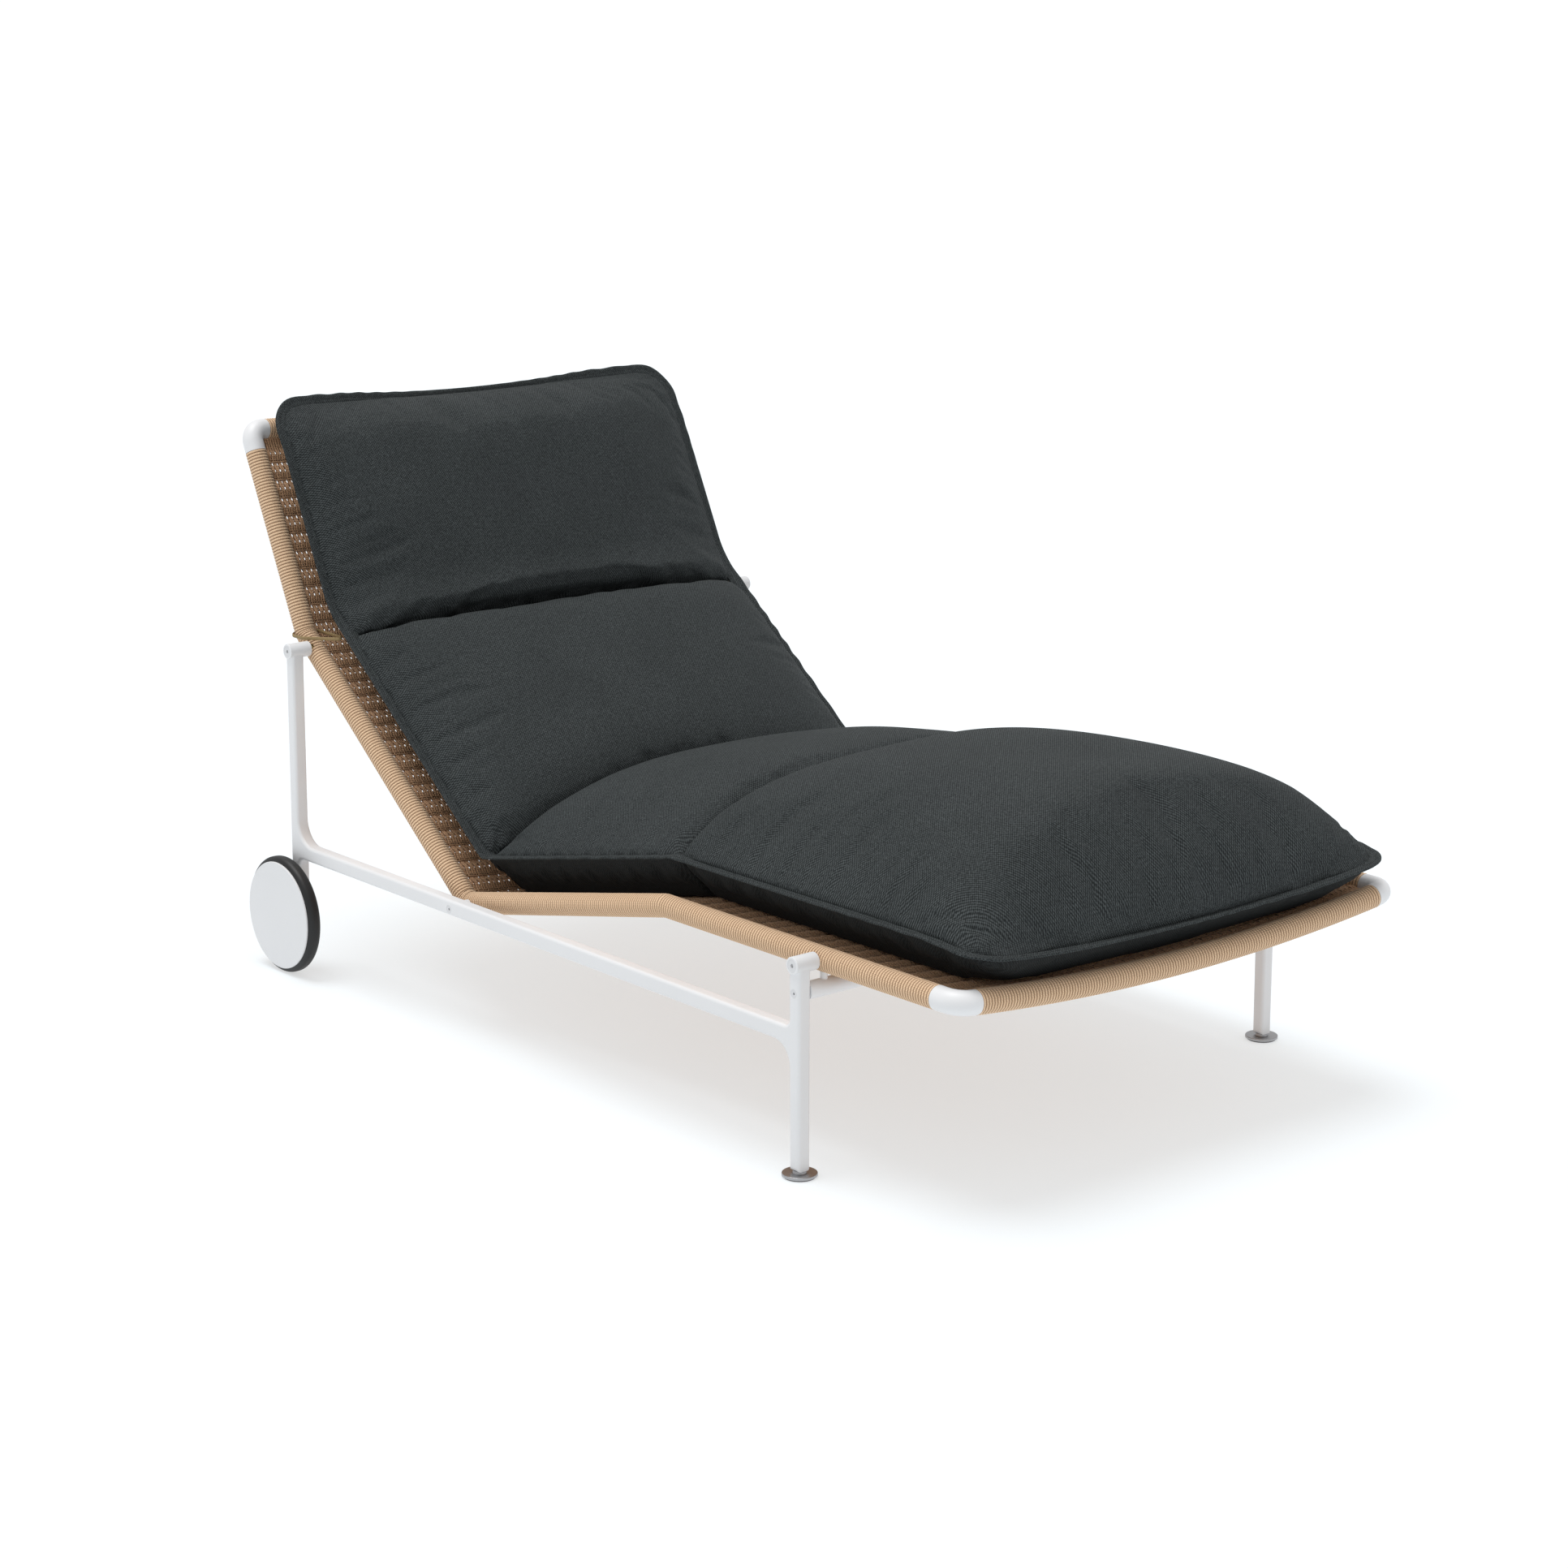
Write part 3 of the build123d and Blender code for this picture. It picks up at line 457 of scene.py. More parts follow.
def shell_path(x):
    """Centre line of a side tube from the foot bar's corner, with its bends rounded, and its length."""
    points = []
    for i in range(len(PROFILE)):
        if i in (0, len(PROFILE) - 1):
            points.append(place(min(i, 3), x, 0.0 if i == 0 else run_length(3), 0.0))
            continue
        reach = BEND_R * tan(abs(bend_angle(i)) / 2)
        arc = BEND_R * abs(bend_angle(i))
        steps = np.linspace(-reach, arc - reach, BEND_STEPS)
        points.extend(rounded_place(i, x, steps, 0.0, BEND_R))
    points = np.array(points)
    distance = np.concatenate([[0], np.cumsum(np.linalg.norm(np.diff(points, axis=0), axis=1))])

    def centre(s):
        return np.stack([np.interp(s, distance, points[:, k]) for k in range(3)], axis=1)

    return centre, distance[-1]


def bar_path(end):
    """An end bar between its elbows, an arc that dips: centre line, half length and square direction."""
    i = 0 if end == "foot" else 3
    s_end = 0.0 if end == "foot" else run_length(3)
    half = HALF_WIDTH - ELBOW_END * cos(BAR_TILT)
    edge = -ELBOW_END * sin(BAR_TILT)
    radius = half / sin(BAR_TILT)

    def centre(s):
        angle = s / radius
        n = edge - radius * (np.cos(angle) - cos(BAR_TILT))
        return place(i, radius * np.sin(angle), np.full_like(s, s_end), n)

    return centre, radius * BAR_TILT, run_direction(i)


def wrap_tubes():
    for name, side in (("left", -1), ("right", 1)):
        centre, length = shell_path(side * HALF_WIDTH)
        wound = wound_tube(f"cord_on_side_tube_{name}", centre, (1, 0, 0), ELBOW_SIDE, length - ELBOW_SIDE)
        take_finish(wound, "natural_cord", *[f"cord_wrap_{part}_{name}" for part in SECTIONS])
    for end in ("foot", "head"):
        centre, half, along = bar_path(end)
        wound = wound_tube(f"cord_on_{end}_bar", centre, (0, *along), -half, half)
        take_finish(wound, "natural_cord", f"cord_wrap_{end}_bar")


# ---------------------------------------------------------------- cushion: four filled sections in one cover

SEAM_HALF = 0.354  # half width of the top panel, where the flange starts
BASE_HALF = 0.298  # the side panels lean in to this half width at the deck
END_UNDERCUT = 0.040  # and the end panels lean in by this
LEAN_FROM = 0.040  # height where the end panels start to lean
SEAM_N = 0.060  # the edge seam's height above the tubes' axes
END_SEAM_N = 0.054  # its height above the dished deck at the two ends
FOOT_SEAM_S = -0.019
HEAD_SEAM_S = run_length(3) + 0.018
CORNER_R = 0.045
CREASE_SHIFT = 0.0513  # the crease under the head section, below the neck bend
CREASE_PULL = 0.017  # how far the seam is drawn in at a crease
CREASE_REACH = 0.011
NECK_BEND_R = 0.185
BASE_GAP = 0.0055  # underside above the deck's middle surface
BAR_GAP = 0.0120  # the same next to an end bar
HIP_TUCK = 0.018  # the base draws in further beside the hip
SLACK = 0.97  # the sewn form before it is filled

# a crown's rise over the seam, its rise at each end as a share of that, and how soon it swells from each end
SWELL = {
    "leg": (0.133, 0.0, 0.058, 0.55, 0.090),
    "seat": (0.107, 0.70, 0.110, 0.44, 0.035),
    "back": (0.087, 0.52, 0.040, 0.46, 0.038),
    "head": (0.066, 0.80, 0.030, 0.0, 0.045),
}
EDGE_POWER = 0.95  # how abruptly a section rises from a free edge
GROOVE_DEPTH = 0.10  # of a crease, as a share of the crown's rise
GROOVE_REACH = 0.006
CROWN_POWERS = (2.9, 0.78)  # flatness of the crown across the cushion, and how steeply it meets the seam
END_FADE = 0.055  # how far the end seam's dip reaches along the sides
TUCK_REACH = 0.045
BAR_REACH = 0.060  # the underside is level again this far from a free end
BAR_BLEND = 0.025
FORM_ROWS = 84  # of the sewn form, along a section
TOP_POINTS, BASE_POINTS, SIDE_POINTS = 71, 41, 9  # of one row
VOXEL = {"leg": 0.0078, "seat": 0.0072, "back": 0.0072, "head": 0.0072}  # of the even mesh that is filled


def undercut(n):
    """How far an end panel has leaned in at height n."""
    return END_UNDERCUT * np.clip((LEAN_FROM - n) / LEAN_FROM, 0, 1.2)


def section_ends(name, n):
    """Where a section starts and stops along its run at height n; the head's are measured from the neck."""
    i = SECTIONS.index(name)
    if name == "head":
        lean = tan(bend_angle(NECK) / 2)
        return -CREASE_SHIFT - n * lean, HEAD_SEAM_S - undercut(n)
    start = FOOT_SEAM_S + undercut(n) if i == 0 else n * tan(bend_angle(i) / 2)
    stop = run_length(i) - n * tan(bend_angle(i + 1) / 2)
    if name == "back":
        stop = stop - CREASE_SHIFT
    return start, stop


def from_end(distance, share, reach):
    """Swelling from one end: from a free edge where share is 0, from a crease otherwise."""
    if share == 0.0:
        return np.tanh(distance / reach) ** EDGE_POWER
    groove = GROOVE_DEPTH * np.exp(-distance / GROOVE_REACH)
    return share + (1 - share) * (1 - np.exp(-distance / reach)) - groove


def section_size(name):
    """Length of a section at the seam's height."""
    start, stop = section_ends(name, SEAM_N)
    return stop - start


def from_free_ends(name, u):
    """Distances from a section's ends that aren't at a crease, for share u of its length."""
    length = section_size(name)
    _, share0, _, share1, _ = SWELL[name]
    ends = ((share0, u * length), (share1, (1 - u) * length))
    return [d for share, d in ends if share == 0.0]


def seam_half(name, u):
    """Half width of the seam at share u of a section's length: its corners are rounded."""
    half = np.full_like(u, SEAM_HALF)
    for d in from_free_ends(name, u):
        short = np.clip(CORNER_R - d, 0, CORNER_R)
        half -= CORNER_R - np.sqrt(CORNER_R**2 - short**2)
    return half


def seam_height(name, x, u):
    """Height of the seam's surface under the crown: it follows the dished deck at the two ends."""
    level = np.full_like(x, SEAM_N)
    for d in from_free_ends(name, u):
        fade = np.exp(-((d / END_FADE) ** 2))
        level = level + fade * (END_SEAM_N + dish(x) - SEAM_N)
    return level


def crown(name, x, u):
    """Height of a section's top above the seam."""
    rise, share0, reach0, share1, reach1 = SWELL[name]
    length = section_size(name)
    d0, d1 = u * length, (1 - u) * length
    half = seam_half(name, u)
    for share, d in ((share0, d0), (share1, d1)):
        if share > 0.0:
            half = half - CREASE_PULL * np.exp(-d / CREASE_REACH)
    t = np.clip(np.abs(x) / half, 0, 1)
    flat, steep = CROWN_POWERS
    across = (1 - t**flat) ** steep
    return SLACK * rise * across * from_end(d0, share0, reach0) * from_end(d1, share1, reach1)


def section_place(name, x, u, n):
    """World points from x, the share u of a section's length and the height n."""
    start, stop = section_ends(name, n)
    s = start + (stop - start) * u
    if name == "head":
        return rounded_place(NECK, x, s, n, NECK_BEND_R)
    return place(SECTIONS.index(name), x, s, n)


def under_side(name, x, u):
    """Height of the cushion's underside, lifted where it passes over an end bar."""
    lift = np.full_like(x, BASE_GAP)
    for d in from_free_ends(name, u):
        over = np.clip((BAR_REACH - d) / BAR_BLEND, 0, 1)
        lift = lift + (BAR_GAP - BASE_GAP) * over * over * (3 - 2 * over)
    return dish(x) + lift


def hip_tuck(name, u):
    """How much further the base draws in, next to the hip bend."""
    from_hip = {"seat": 1 - u, "back": u}
    if name not in from_hip:
        return 0.0
    return HIP_TUCK * np.exp(-((from_hip[name] * section_size(name) / TUCK_REACH) ** 2))


def sewn_form(name):
    """Closed form of one section before it is filled: rows across it, from one end to the other."""
    ease = np.linspace(0, pi, FORM_ROWS)
    u = 0.5 * (1 - np.cos(ease)) * 0.7 + 0.3 * np.linspace(0, 1, FORM_ROWS)  # closer near the ends
    across = np.sin(np.linspace(-pi / 2, pi / 2, TOP_POINTS))
    level = np.linspace(1, -1, BASE_POINTS)
    down = np.linspace(0, 1, SIDE_POINTS)[1:-1]
    points = []
    for share in u:
        one = np.array([share])
        half = seam_half(name, one)[0]
        base_half = half - (SEAM_HALF - BASE_HALF) - hip_tuck(name, share)
        x_top = across * half
        n_top = seam_height(name, x_top, share) + crown(name, x_top, share)
        x_base = level * base_half
        n_base = under_side(name, x_base, share)
        x_side = half + (base_half - half) * down
        n_side = n_top[-1] + (n_base[0] - n_top[-1]) * down
        x = np.concatenate([x_top, x_side, x_base, -x_side[::-1]])
        n = np.concatenate([n_top, n_side, n_base, n_side[::-1]])
        points.append(section_place(name, x, share, n))
    points = np.array(points)
    count = points.shape[1]
    faces = [tuple(f) for f in grid_faces(FORM_ROWS, count)]
    faces.append(tuple(range(count))[::-1])
    faces.append(tuple((FORM_ROWS - 1) * count + k for k in range(count)))
    return make_object(f"cushion_{name}_cover", points.reshape(-1, 3), faces)


def apply_modifier(obj, modifier):
    """Make a modifier's result the object's own mesh."""
    bpy.context.view_layer.update()
    graph = bpy.context.evaluated_depsgraph_get()
    mesh = bpy.data.meshes.new_from_object(obj.evaluated_get(graph))
    obj.modifiers.remove(modifier)
    old = obj.data
    obj.data = mesh
    bpy.data.meshes.remove(old)


def coordinates(obj):
    flat = np.zeros(len(obj.data.vertices) * 3)
    obj.data.vertices.foreach_get("co", flat)
    return flat.reshape(-1, 3)


def set_coordinates(obj, points):
    obj.data.vertices.foreach_set("co", np.asarray(points, float).ravel())
    obj.data.update()


FILL_FRAMES = 20
FILL_CAP = 0.007  # the furthest that filling moves a point
HELD_SIDE = (0.014, 0.012)  # band of cloth held at a side seam: inwards, and up or down
HELD_END = (0.016, 0.014)  # the same at an end seam
HELD_LOW = 0.020  # everything below this height is held


def fill(obj, name):
    """Inflate a sewn cover; its seams and underside stay where they are."""
    start = coordinates(obj)
    x, along, n = local_place(name, start)
    held = (np.abs(x) > SEAM_HALF - HELD_SIDE[0]) & (np.abs(n - SEAM_N) < HELD_SIDE[1])
    held |= n < HELD_LOW
    end_seam = np.abs(n - END_SEAM_N - dish(x)) < HELD_END[1]
    if name == "leg":
        held |= end_seam & (along < FOOT_SEAM_S + HELD_END[0])
    if name == "head":
        held |= end_seam & (along > HEAD_SEAM_S - n * tan(bend_angle(NECK) / 2) - HELD_END[0])
    group = obj.vertex_groups.new(name="held")
    group.add([int(k) for k in np.nonzero(held)[0]], 1.0, "REPLACE")
    cloth = obj.modifiers.new("fill", "CLOTH")
    settings = cloth.settings
    settings.quality = 4
    settings.mass = 0.25
    settings.tension_stiffness = 12
    settings.compression_stiffness = 12
    settings.shear_stiffness = 4
    settings.bending_stiffness = 0.4
    settings.use_pressure = True
    settings.uniform_pressure_force = 4
    settings.shrink_min = -0.025
    settings.vertex_group_mass = "held"
    settings.effector_weights.gravity = 0
    cloth.point_cache.frame_start = 1
    cloth.point_cache.frame_end = FILL_FRAMES
    for step in range(1, FILL_FRAMES + 1):
        bpy.context.scene.frame_set(step)
    graph = bpy.context.evaluated_depsgraph_get()
    filled = obj.evaluated_get(graph).data
    flat = np.zeros(len(filled.vertices) * 3)
    filled.vertices.foreach_get("co", flat)
    move = flat.reshape(-1, 3) - start
    size = np.linalg.norm(move, axis=1, keepdims=True)
    move *= np.minimum(1.0, FILL_CAP / np.maximum(size, 1e-9))
    obj.modifiers.remove(cloth)
    obj.vertex_groups.clear()
    bpy.context.scene.frame_set(1)
    set_coordinates(obj, start + move)


def local_place(name, points):
    """x, distance along the section and height of world points, on the section's own run."""
    i = SECTIONS.index(name)
    x, s, n = find_place(i, points)
    if name == "head":
        _, s_low, n_low = find_place(i - 1, points)
        lean = n * tan(bend_angle(NECK) / 2)
        below = s < lean
        low_lean = n_low * tan(bend_angle(NECK) / 2)
        s = np.where(below, s_low - run_length(i - 1) + low_lean, s - lean)
        n = np.where(below, n_low, n)
    return x, s, n


PANEL_BELOW = 0.0015  # painted shade on the side panels starts this far under the seam
PANEL_BLEND = 0.004


def add_weave(obj, name):
    """Surface coordinates for the weave: along, across (carried down the sides), and 1 on the side panels,
    where shade is painted.
    """
    x, s, n = local_place(name, coordinates(obj))
    depth = np.clip(SEAM_N - n, 0, None)
    height = np.clip(n - SEAM_N, 0, None)
    steep = np.clip((np.abs(x) / SEAM_HALF - 0.75) / 0.25, 0, 1)
    across = x + np.sign(x) * (depth + 0.6 * steep * height)
    start, stop = section_ends(name, SEAM_N)
    level = seam_height(name, x, np.clip((s - start) / (stop - start), 0, 1))
    # painted shade on the side panels below the seam
    side_shade = np.clip((level - PANEL_BELOW - n) / PANEL_BLEND, 0, 1)
    values = np.stack([s - 0.5 * depth, across, side_shade], axis=1)
    layer = obj.data.attributes.new("weave", "FLOAT_VECTOR", "POINT")
    layer.data.foreach_set("vector", values.astype(np.float32).ravel())


# gathers at a side and an end seam: height, wavelength, and how far they reach over the crown
SIDE_GATHER = (0.0011, 0.037, 0.024)
END_GATHER = (0.0009, 0.051, 0.030)
UNEVENNESS = 0.0016  # slow unevenness of the filling


def pucker(obj, name):
    """Small gathers that run out from the seams and die away over the crown."""
    points = coordinates(obj)
    normals = np.zeros(len(points) * 3)
    obj.data.vertices.foreach_get("normal", normals)
    normals = normals.reshape(-1, 3)
    x, s, n = local_place(name, points)
    start, stop = section_ends(name, n)
    if name == "head":
        start = -CREASE_SHIFT
        stop = HEAD_SEAM_S - n * tan(bend_angle(NECK) / 2)
    top = np.clip((n - SEAM_N + 0.004) / 0.012, 0, 1)  # nothing moves below the seam
    phase = SECTIONS.index(name) * 1.7
    edge = np.abs(SEAM_HALF - np.abs(x))
    height, spacing, reach = SIDE_GATHER
    gather = np.sin(s * 2 * pi / spacing + phase + 2.3 * np.sin(s * 31 + phase))
    gather *= 0.5 + 0.5 * np.sin(s * 17 + 2.0 * phase)
    move = height * gather * np.exp(-edge / reach)
    height, spacing, reach = END_GATHER
    for d in (s - start, stop - s):
        wave = np.sin(x * 2 * pi / spacing + phase + 2.2 * np.sin(x * 23 + phase))
        wave *= 0.5 + 0.5 * np.sin(x * 15 + 2.0 * phase)
        move += height * wave * np.exp(-np.abs(d) / reach)
    slow = np.sin(x * 9.0 + 3.0 * np.sin(s * 5.0 + phase)) * np.sin(s * 13.0 + 2.0 * np.sin(x * 7.0 + phase))
    move += UNEVENNESS * slow
    set_coordinates(obj, points + normals * (move * top)[:, None])


def cushion_sections():
    for name in SECTIONS:
        section = sewn_form(name)
        remesh = section.modifiers.new("voxels", "REMESH")
        remesh.mode = "VOXEL"
        remesh.voxel_size = VOXEL[name]
        remesh.use_smooth_shade = True
        apply_modifier(section, remesh)
        fill(section, name)
        smooth = section.modifiers.new("smooth", "SUBSURF")
        smooth.levels = 1
        smooth.render_levels = 1
        apply_modifier(section, smooth)
        pucker(section, name)
        add_weave(section, name)
        section.data.polygons.foreach_set("use_smooth", [True] * len(section.data.polygons))
        take_finish(section, "cushion_fabric", f"cushion_{name}")


# ---------------------------------------------------------------- flange sewn round the cover

FLANGE_WIDTH = 0.0105
FLANGE_INSIDE = 0.013  # how far it reaches into the cushion
FLANGE_THICK = 0.0030
FLANGE_STEP = 0.004  # between its points along the seam
LEAST_GAP = 0.0004  # closer points are left out
UP_BLEND = (0.03, 0.05)  # near a bend its direction is blended: along a run, and over its height
STITCH_OUT = 0.0030  # the stitches run in a groove this far out
STITCH_PITCH = 0.0052
STITCH_SEAT = 0.62  # their foot, as a share of half the flange's thickness
RIPPLE_LENGTH = 0.041
RIPPLE_OUT = 0.0005  # waviness of the free edge
RIPPLE_UP = 0.0008


def flange_line():
    """Closed line of the seam and its direction at each point."""
    rows = []
    for name in SECTIONS:
        length = section_size(name)
        u = np.linspace(0, 1, int(length / FLANGE_STEP))
        if SWELL[name][1] == 0.0 or SWELL[name][3] == 0.0:
            u = 0.5 * (1 - np.cos(pi * u)) * 0.5 + 0.5 * u
        half = seam_half(name, u)
        height = seam_height(name, half, u)
        rows.append(section_place(name, half, u, height))
    right = np.concatenate(rows)
    left = right[::-1] * np.array([-1, 1, 1])
    inner = SEAM_HALF - CORNER_R
    x = np.linspace(inner, -inner, int(2 * inner / FLANGE_STEP))[1:-1]
    head_end = section_place("head", x, 1.0, seam_height("head", x, 1.0))
    foot_end = section_place("leg", -x, 0.0, seam_height("leg", -x, 0.0))
    line = np.concatenate([right, head_end, left, foot_end])
    gap = np.linalg.norm(line - np.roll(line, -1, axis=0), axis=1)
    line = line[gap > LEAST_GAP]
    for _ in range(3):
        line = (np.roll(line, 1, axis=0) + 2 * line + np.roll(line, -1, axis=0)) / 4
    ahead = np.roll(line, -1, axis=0) - np.roll(line, 1, axis=0)
    ahead /= np.linalg.norm(ahead, axis=1, keepdims=True)
    return line, ahead


def flange_up(line):
    """Direction out of the deck at each point of the flange, blended near the bends."""
    total = np.zeros_like(line)
    for i in range(len(SECTIONS)):
        along = run_direction(i)
        _, s, n = find_place(i, line)
        outside = np.maximum(np.clip(-s, 0, None), np.clip(s - run_length(i), 0, None))
        weight = np.exp(-((outside / UP_BLEND[0]) ** 2)) * np.exp(-((n - SEAM_N) / UP_BLEND[1]) ** 2) + 1e-9
        total += weight[:, None] * np.array([0, -along[1], along[0]])
    return total / np.linalg.norm(total, axis=1, keepdims=True)


def cushion_flange():
    line, ahead = flange_line()
    up = flange_up(line)
    outward = np.cross(ahead, up)
    outward /= np.linalg.norm(outward, axis=1, keepdims=True)
    distance = np.concatenate([[0], np.cumsum(np.linalg.norm(np.diff(line, axis=0), axis=1))])
    ripple = np.sin(distance * 2 * pi / RIPPLE_LENGTH + 2.5 * np.sin(distance * 19))
    ripple *= 0.5 + 0.5 * np.sin(distance * 11)
    half_thick = FLANGE_THICK / 2
    # distance outwards and half thickness
    section = [
        (-FLANGE_INSIDE, half_thick),
        (0.0, 0.9 * half_thick),
        (STITCH_OUT, 0.55 * half_thick),
        (0.0055, 1.0 * half_thick),
        (FLANGE_WIDTH - 0.0012, 1.1 * half_thick),
        (FLANGE_WIDTH, 0.0),
    ]
    section += [(a, -b) for a, b in section[-2::-1]]
    rings = []
    for a, b in section:
        share = max(a, 0.0) / FLANGE_WIDTH
        out = a + RIPPLE_OUT * share * ripple
        rise = b + RIPPLE_UP * share * ripple
        rings.append(line + outward * out[:, None] + up * rise[:, None])
    points = np.stack(rings, axis=1)
    count = len(section)
    obj = make_object("cushion_flange", points.reshape(-1, 3), grid_faces(len(line), count, wrap_rows=True))
    across = np.array([a + b for a, b in section])
    values = np.zeros((len(line), count, 3), np.float32)
    values[..., 0] = distance[:, None]
    values[..., 1] = across[None, :]
    layer = obj.data.attributes.new("weave", "FLOAT_VECTOR", "POINT")
    layer.data.foreach_set("vector", values.ravel())
    take_finish(obj, "cushion_fabric")
    stitches(line, ahead, outward, up, distance, half_thick)


def stitches(line, ahead, outward, up, distance, half_thick):
    """One row of sewn stitches along the flange's top face."""
    at = np.arange(STITCH_PITCH, distance[-1], STITCH_PITCH)
    places = [np.stack([np.interp(at, distance, field[:, k]) for k in range(3)], axis=1)
              for field in (line, ahead, outward, up)]
    middle, along, out, top = places
    middle = middle + out * STITCH_OUT + top * (STITCH_SEAT * half_thick)
    outline = [(-0.5, 0.0), (-0.35, 0.5), (0.35, 0.5), (0.5, 0.0), (0.35, -0.5), (-0.35, -0.5)]
    length, width, height = 0.70 * STITCH_PITCH, 0.0008, 0.0004
    ring = [middle + along * (a * length) + out * (b * width) for a, b in outline]
    crest = [middle + along * (0.7 * a * length) + out * (0.5 * b * width) + top * height for a, b in outline]
    points = np.stack(ring + crest, axis=1)
    faces = []
    for k in range(len(at)):
        base = k * 12
        faces.append([base + j for j in range(5, -1, -1)])
        faces.append([base + 6 + j for j in range(6)])
        faces.extend([base + j, base + (j + 1) % 6, base + 6 + (j + 1) % 6, base + 6 + j] for j in range(6))
    obj = make_object("cushion_stitches", points.reshape(-1, 3), faces)
    take_finish(obj, "cushion_fabric")


# ---------------------------------------------------------------- woven deck

STRAND_PITCH = 0.0043  # across the deck
STRAND_R = 0.0024
WEAVE_PERIOD = 0.0284  # lengthwise: two rows of small gaps, then a close stretch
GAP_ROWS = (0.0, 0.0108)
GAP_REACH = 0.0030
STRAND_SWAY = 0.0013  # sideways, where a row of gaps opens
STRAND_RISE = 0.0021  # all strands rise and fall together, in ridges across the deck
STRAND_LEVELS = (1.15, 0.85)  # pairs of strands take turns to rise more and less
STRAND_CROSS = 0.0003  # rise of a strand over its neighbour
PLAIN_END = 0.022  # straight strands next to the end bars
PLAIN_BLEND = 0.008
END_GRIP = 0.004  # how far a strand reaches into an end bar's cord
CROSS_CORDS = (0.0036, 0.0072, 0.0144, 0.0182, 0.0220, 0.0258)
CROSS_R = 0.0014
CROSS_RISE = 0.0006
CROSS_HALF = 0.3600
SAMPLES = 7  # of a strand in one period


def gap_strength(s):
    """1 at a row of gaps and 0 between rows."""
    total = np.zeros_like(s)
    for row in GAP_ROWS:
        away = (s - row + WEAVE_PERIOD / 2) % WEAVE_PERIOD - WEAVE_PERIOD / 2
        total += np.exp(-((away / GAP_REACH) ** 2))
    return np.clip(total, 0, 1)


def shell_length(runs=len(SECTIONS)):
    """Length of the first runs of the shell together."""
    return sum(run_length(k) for k in range(runs))


def run_ends(i, n):
    """Where run i starts and stops at height n: at its bends, or inside the cord of an end bar."""
    inside = WRAP_R - END_GRIP
    start = inside + 0 * n if i == 0 else n * tan(bend_angle(i) / 2)
    stop = run_length(i) + 0 * n
    if i == len(SECTIONS) - 1:
        return start, stop - inside
    return start, stop - n * tan(bend_angle(i + 1) / 2)


def tubes(name, rings):
    """Closed tubes from rings shaped (tubes, rings along, points around, 3)."""
    count, along, around, _ = rings.shape
    one = [tuple(f) for f in grid_faces(along, around)]
    one.append(tuple(range(around))[::-1])
    one.append(tuple((along - 1) * around + k for k in range(around)))
    faces = []
    for k in range(count):
        base = k * along * around
        faces.extend(tuple(v + base for v in f) for f in one)
    return make_object(name, rings.reshape(-1, 3), faces)


def lengthwise_strands(i):
    """Strands of run i side by side; neighbours sway apart or together where the gaps open."""
    length = run_length(i)
    inside = HALF_WIDTH - WRAP_R
    count = 2 * round(inside / STRAND_PITCH)
    order = np.arange(count)
    x = (order / (count - 1) * 2 - 1) * (inside - 0.8 * STRAND_R)
    steps = int(length / WEAVE_PERIOD * SAMPLES) + 1
    u = np.linspace(0, 1, steps)
    s = shell_length(i) + u * length
    from_bar = np.minimum(s, shell_length() - s)
    wavy = np.clip((from_bar - PLAIN_END) / PLAIN_BLEND, 0, 1)
    toward = np.where(order % 2 == 0, 1.0, -1.0)[:, None]
    level = np.where((order // 2) % 2 == 0, *STRAND_LEVELS)[:, None]
    sway = toward * STRAND_SWAY * (gap_strength(s) * wavy)[None, :]
    rise = level * STRAND_RISE * (np.cos(2 * pi * s / WEAVE_PERIOD) * wavy)[None, :]
    rise += toward * STRAND_CROSS * np.sin(4 * pi * s / WEAVE_PERIOD)[None, :]
    x_line = x[:, None] + sway
    n_line = dish(x)[:, None] + rise
    angle = np.arange(4) * pi / 2
    x_ring = x_line[..., None] + STRAND_R * np.cos(angle)
    n_ring = n_line[..., None] + STRAND_R * np.sin(angle)
    start, stop = run_ends(i, n_ring)
    s_ring = start + (stop - start) * u[None, :, None]
    rings = place(i, x_ring, s_ring, n_ring)
    obj = tubes(f"woven_{SECTIONS[i]}_strands", rings)
    # v is a half on a strand's top and bottom and 0 at its sides, where the cord paint lays painted shade
    face = np.broadcast_to(0.5 * np.abs(np.sin(angle)), x_ring.shape)
    along = np.broadcast_to(s[None, :, None], x_ring.shape)
    set_uv(obj, along.ravel(), face.ravel())
    return obj


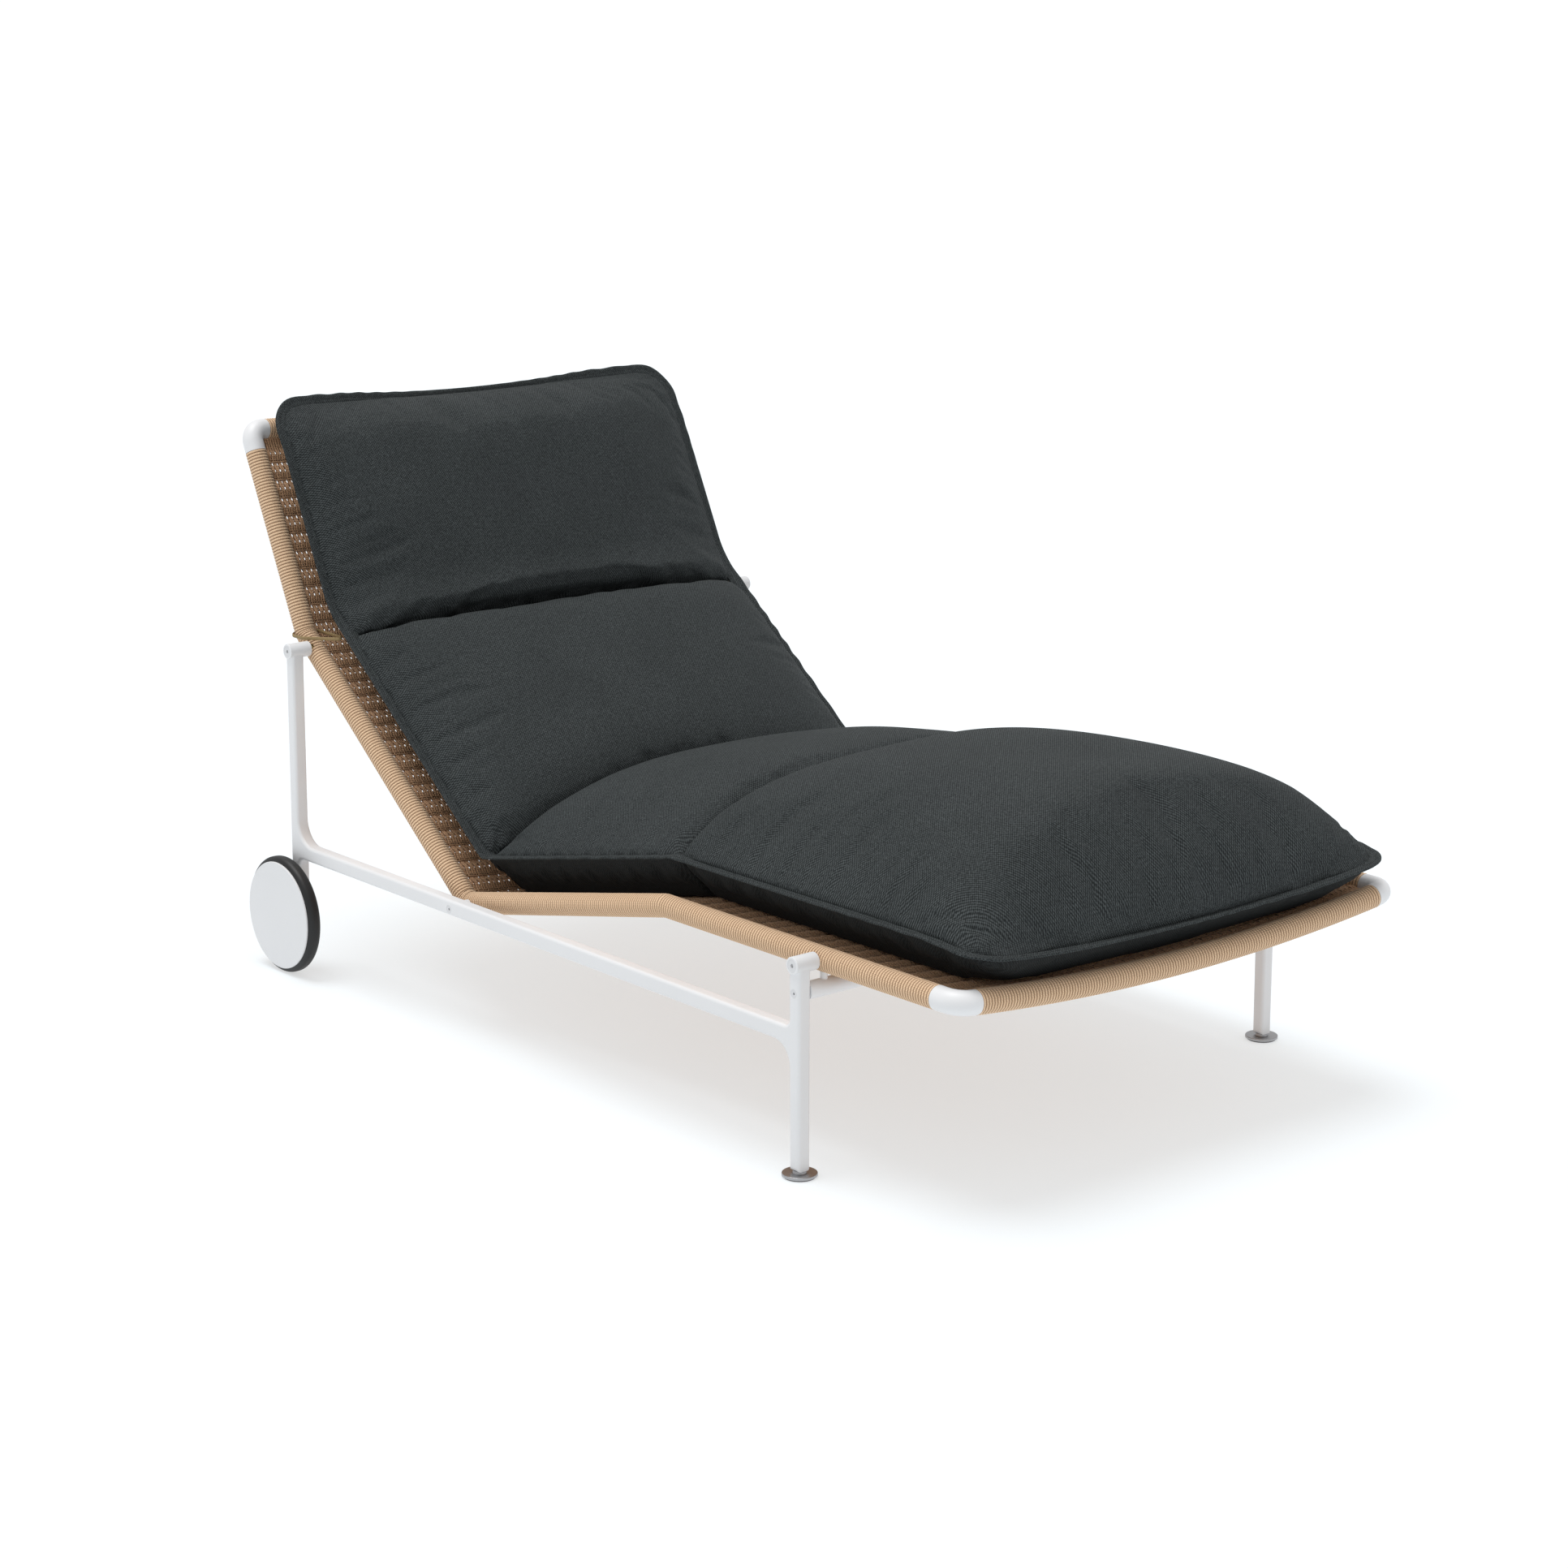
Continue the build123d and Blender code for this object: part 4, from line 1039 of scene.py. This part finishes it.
def crossing_cords(i):
    """Thin cords across run i, waving a little over and under the strands."""
    length = run_length(i)
    start_of_run = shell_length(i)
    total = shell_length()
    first = int(start_of_run // WEAVE_PERIOD)
    last = int((start_of_run + length) // WEAVE_PERIOD) + 1
    places = [k * WEAVE_PERIOD + cord for k in range(first, last) for cord in CROSS_CORDS]
    low = max(start_of_run, PLAIN_END)
    high = min(start_of_run + length, total - PLAIN_END)
    places = np.array([s for s in places if low + 0.002 < s < high - 0.002])
    pair = 2 * STRAND_PITCH
    x = np.arange(-CROSS_HALF, CROSS_HALF + pair / 4, pair / 2)
    x = np.clip(x, -CROSS_HALF, CROSS_HALF)
    wave = -np.cos(2 * pi * places / WEAVE_PERIOD)[:, None] * np.cos(pi * x / pair)[None, :]
    n_line = dish(x)[None, :] + CROSS_RISE * wave
    u = (places - start_of_run) / length
    angle = np.arange(4) * pi / 2
    n_ring = n_line[..., None] + CROSS_R * np.sin(angle)
    start, stop = run_ends(i, n_ring)
    s_ring = start + (stop - start) * u[:, None, None] + CROSS_R * np.cos(angle)
    rings = place(i, np.broadcast_to(x[None, :, None], n_ring.shape), s_ring, n_ring)
    obj = tubes(f"woven_{SECTIONS[i]}_crossings", rings)
    along = np.broadcast_to(x[None, :, None], n_ring.shape)
    # v is a half on a crossing cord's top and bottom and 0 at its sides, where the cord paint lays painted
    # shade
    face = np.broadcast_to(0.5 * np.abs(np.sin(angle)), n_ring.shape)
    set_uv(obj, along.ravel(), face.ravel())
    return obj


def woven_deck():
    for i, part in enumerate(SECTIONS):
        take_finish(lengthwise_strands(i), "woven_cord", f"woven_{part}")
        take_finish(crossing_cords(i), "woven_cord", f"woven_{part}")


# ---------------------------------------------------------------- elastic straps at the neck

STRAP_LOW, STRAP_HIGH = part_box("neck_strap_right")
STRAP_THICK = 0.0020
STRAP_TUBE_R = STRAP_HIGH.x - HALF_WIDTH - STRAP_THICK / 2
STRAP_END_R = 0.0040
STRAP_LOW_TUBE_Y = 0.6005  # the tube's axis at the strap's lower edge; it leans through the strap
STRAP_RISE = 0.004  # from the tube up to the cushion


def neck_strap(name, side):
    """Band round the tube: the outline touches two circles at the tube and a small one at the cushion."""
    inset = STRAP_THICK / 2
    circles = [
        (HALF_WIDTH, STRAP_HIGH.y - inset - STRAP_TUBE_R, STRAP_TUBE_R),
        (HALF_WIDTH, STRAP_LOW_TUBE_Y, STRAP_TUBE_R),
        (STRAP_LOW.x + inset + STRAP_END_R, STRAP_LOW.y + inset + STRAP_END_R, STRAP_END_R),
    ]
    angle = np.linspace(0, 2 * pi, 96, endpoint=False)
    out = np.stack([np.cos(angle), np.sin(angle)], axis=1)
    reach = np.array([[x * d[0] + y * d[1] + r for x, y, r in circles] for d in out])
    touched = np.argmax(reach, axis=1)
    line = np.array([[circles[k][0] + circles[k][2] * d[0], circles[k][1] + circles[k][2] * d[1]]
                     for k, d in zip(touched, out)])
    middle = (STRAP_LOW.z + STRAP_HIGH.z) / 2
    half_tall = (STRAP_HIGH.z - STRAP_LOW.z) / 2
    # shares of the thickness and of half the height
    section = [(-0.5, 0.7), (0.1, 1.0), (0.5, 0.6), (0.5, -0.6), (0.1, -1.0), (-0.5, -0.7)]
    rings = []
    for a, b in section:
        offset = out * (a * STRAP_THICK)
        lift = STRAP_RISE * np.clip((HALF_WIDTH - line[:, 0]) / (HALF_WIDTH - STRAP_LOW.x), 0, 1)
        z = middle + b * half_tall + lift
        rings.append(np.column_stack([side * (line[:, 0] + offset[:, 0]), line[:, 1] + offset[:, 1], z]))
    points = np.stack(rings, axis=1)
    faces = grid_faces(len(line), len(section), wrap_rows=True)
    if side < 0:
        faces = faces[:, ::-1]
    band = make_object(f"neck_band_{name}", points.reshape(-1, 3), faces)
    take_finish(band, "elastic", f"neck_strap_{name}")


# ---------------------------------------------------------------- light, floor and camera


def camera():
    """The photo's view, fitted to its feet, wheels and rails; part of its lens shift is a pitch here."""
    data = bpy.data.cameras.new("camera")
    data.lens = 76.375
    data.sensor_width = 36.0
    data.shift_x = 0.00347
    data.shift_y = -0.1
    data.clip_end = 1200.0
    view = bpy.data.objects.new("camera", data)
    view.location = (-2.8669, -3.4382, 1.4274)
    view.rotation_euler = (radians(90 - 11.2026), 0, radians(-39.8494))
    bpy.context.scene.collection.objects.link(view)
    bpy.context.scene.camera = view


def studio():
    """White surroundings, a broad lamp overhead, and a floor that glows a little to keep its shadows pale."""
    world = bpy.data.worlds.new("studio")
    bpy.context.scene.world = world
    world.use_nodes = True
    background = world.node_tree.nodes["Background"]
    background.inputs["Color"].default_value = (1, 1, 1, 1)
    background.inputs["Strength"].default_value = 0.66
    sun = bpy.data.lights.new("overhead", "SUN")
    sun.angle = radians(34)
    sun.energy = 1.8
    lamp = bpy.data.objects.new("overhead", sun)
    lamp.rotation_euler = (radians(-9), radians(-7), 0)
    bpy.context.scene.collection.objects.link(lamp)
    floor_half = 400.0
    corners = [(-floor_half, -floor_half, 0), (floor_half, -floor_half, 0)]
    corners += [(floor_half, floor_half, 0), (-floor_half, floor_half, 0)]
    floor = make_object("floor", corners, [(0, 1, 2, 3)], smooth=False)
    paint = Paint("studio_floor", (0.5, 0.5, 0.5), 0.9)
    grain = paint.sum("MULTIPLY_ADD", paint.noise(3.0), 0.5, 0.5)
    paint.colour(paint.mix(grain, (0.355, 0.400, 0.428), (0.375, 0.420, 0.448)))
    paint.shader.inputs["Emission Color"].default_value = (1, 1, 1, 1)
    paint.shader.inputs["Emission Strength"].default_value = 0.575
    floor.data.materials.append(paint.material)
    bpy.context.scene.view_settings.view_transform = "Standard"


# ---------------------------------------------------------------- all of it

materials = make_materials()
camera()
studio()
finish_cad_nodes()
wrap_tubes()
woven_deck()
for strap_name, strap_side in (("left", -1), ("right", 1)):
    neck_strap(strap_name, strap_side)
cushion_sections()
cushion_flange()
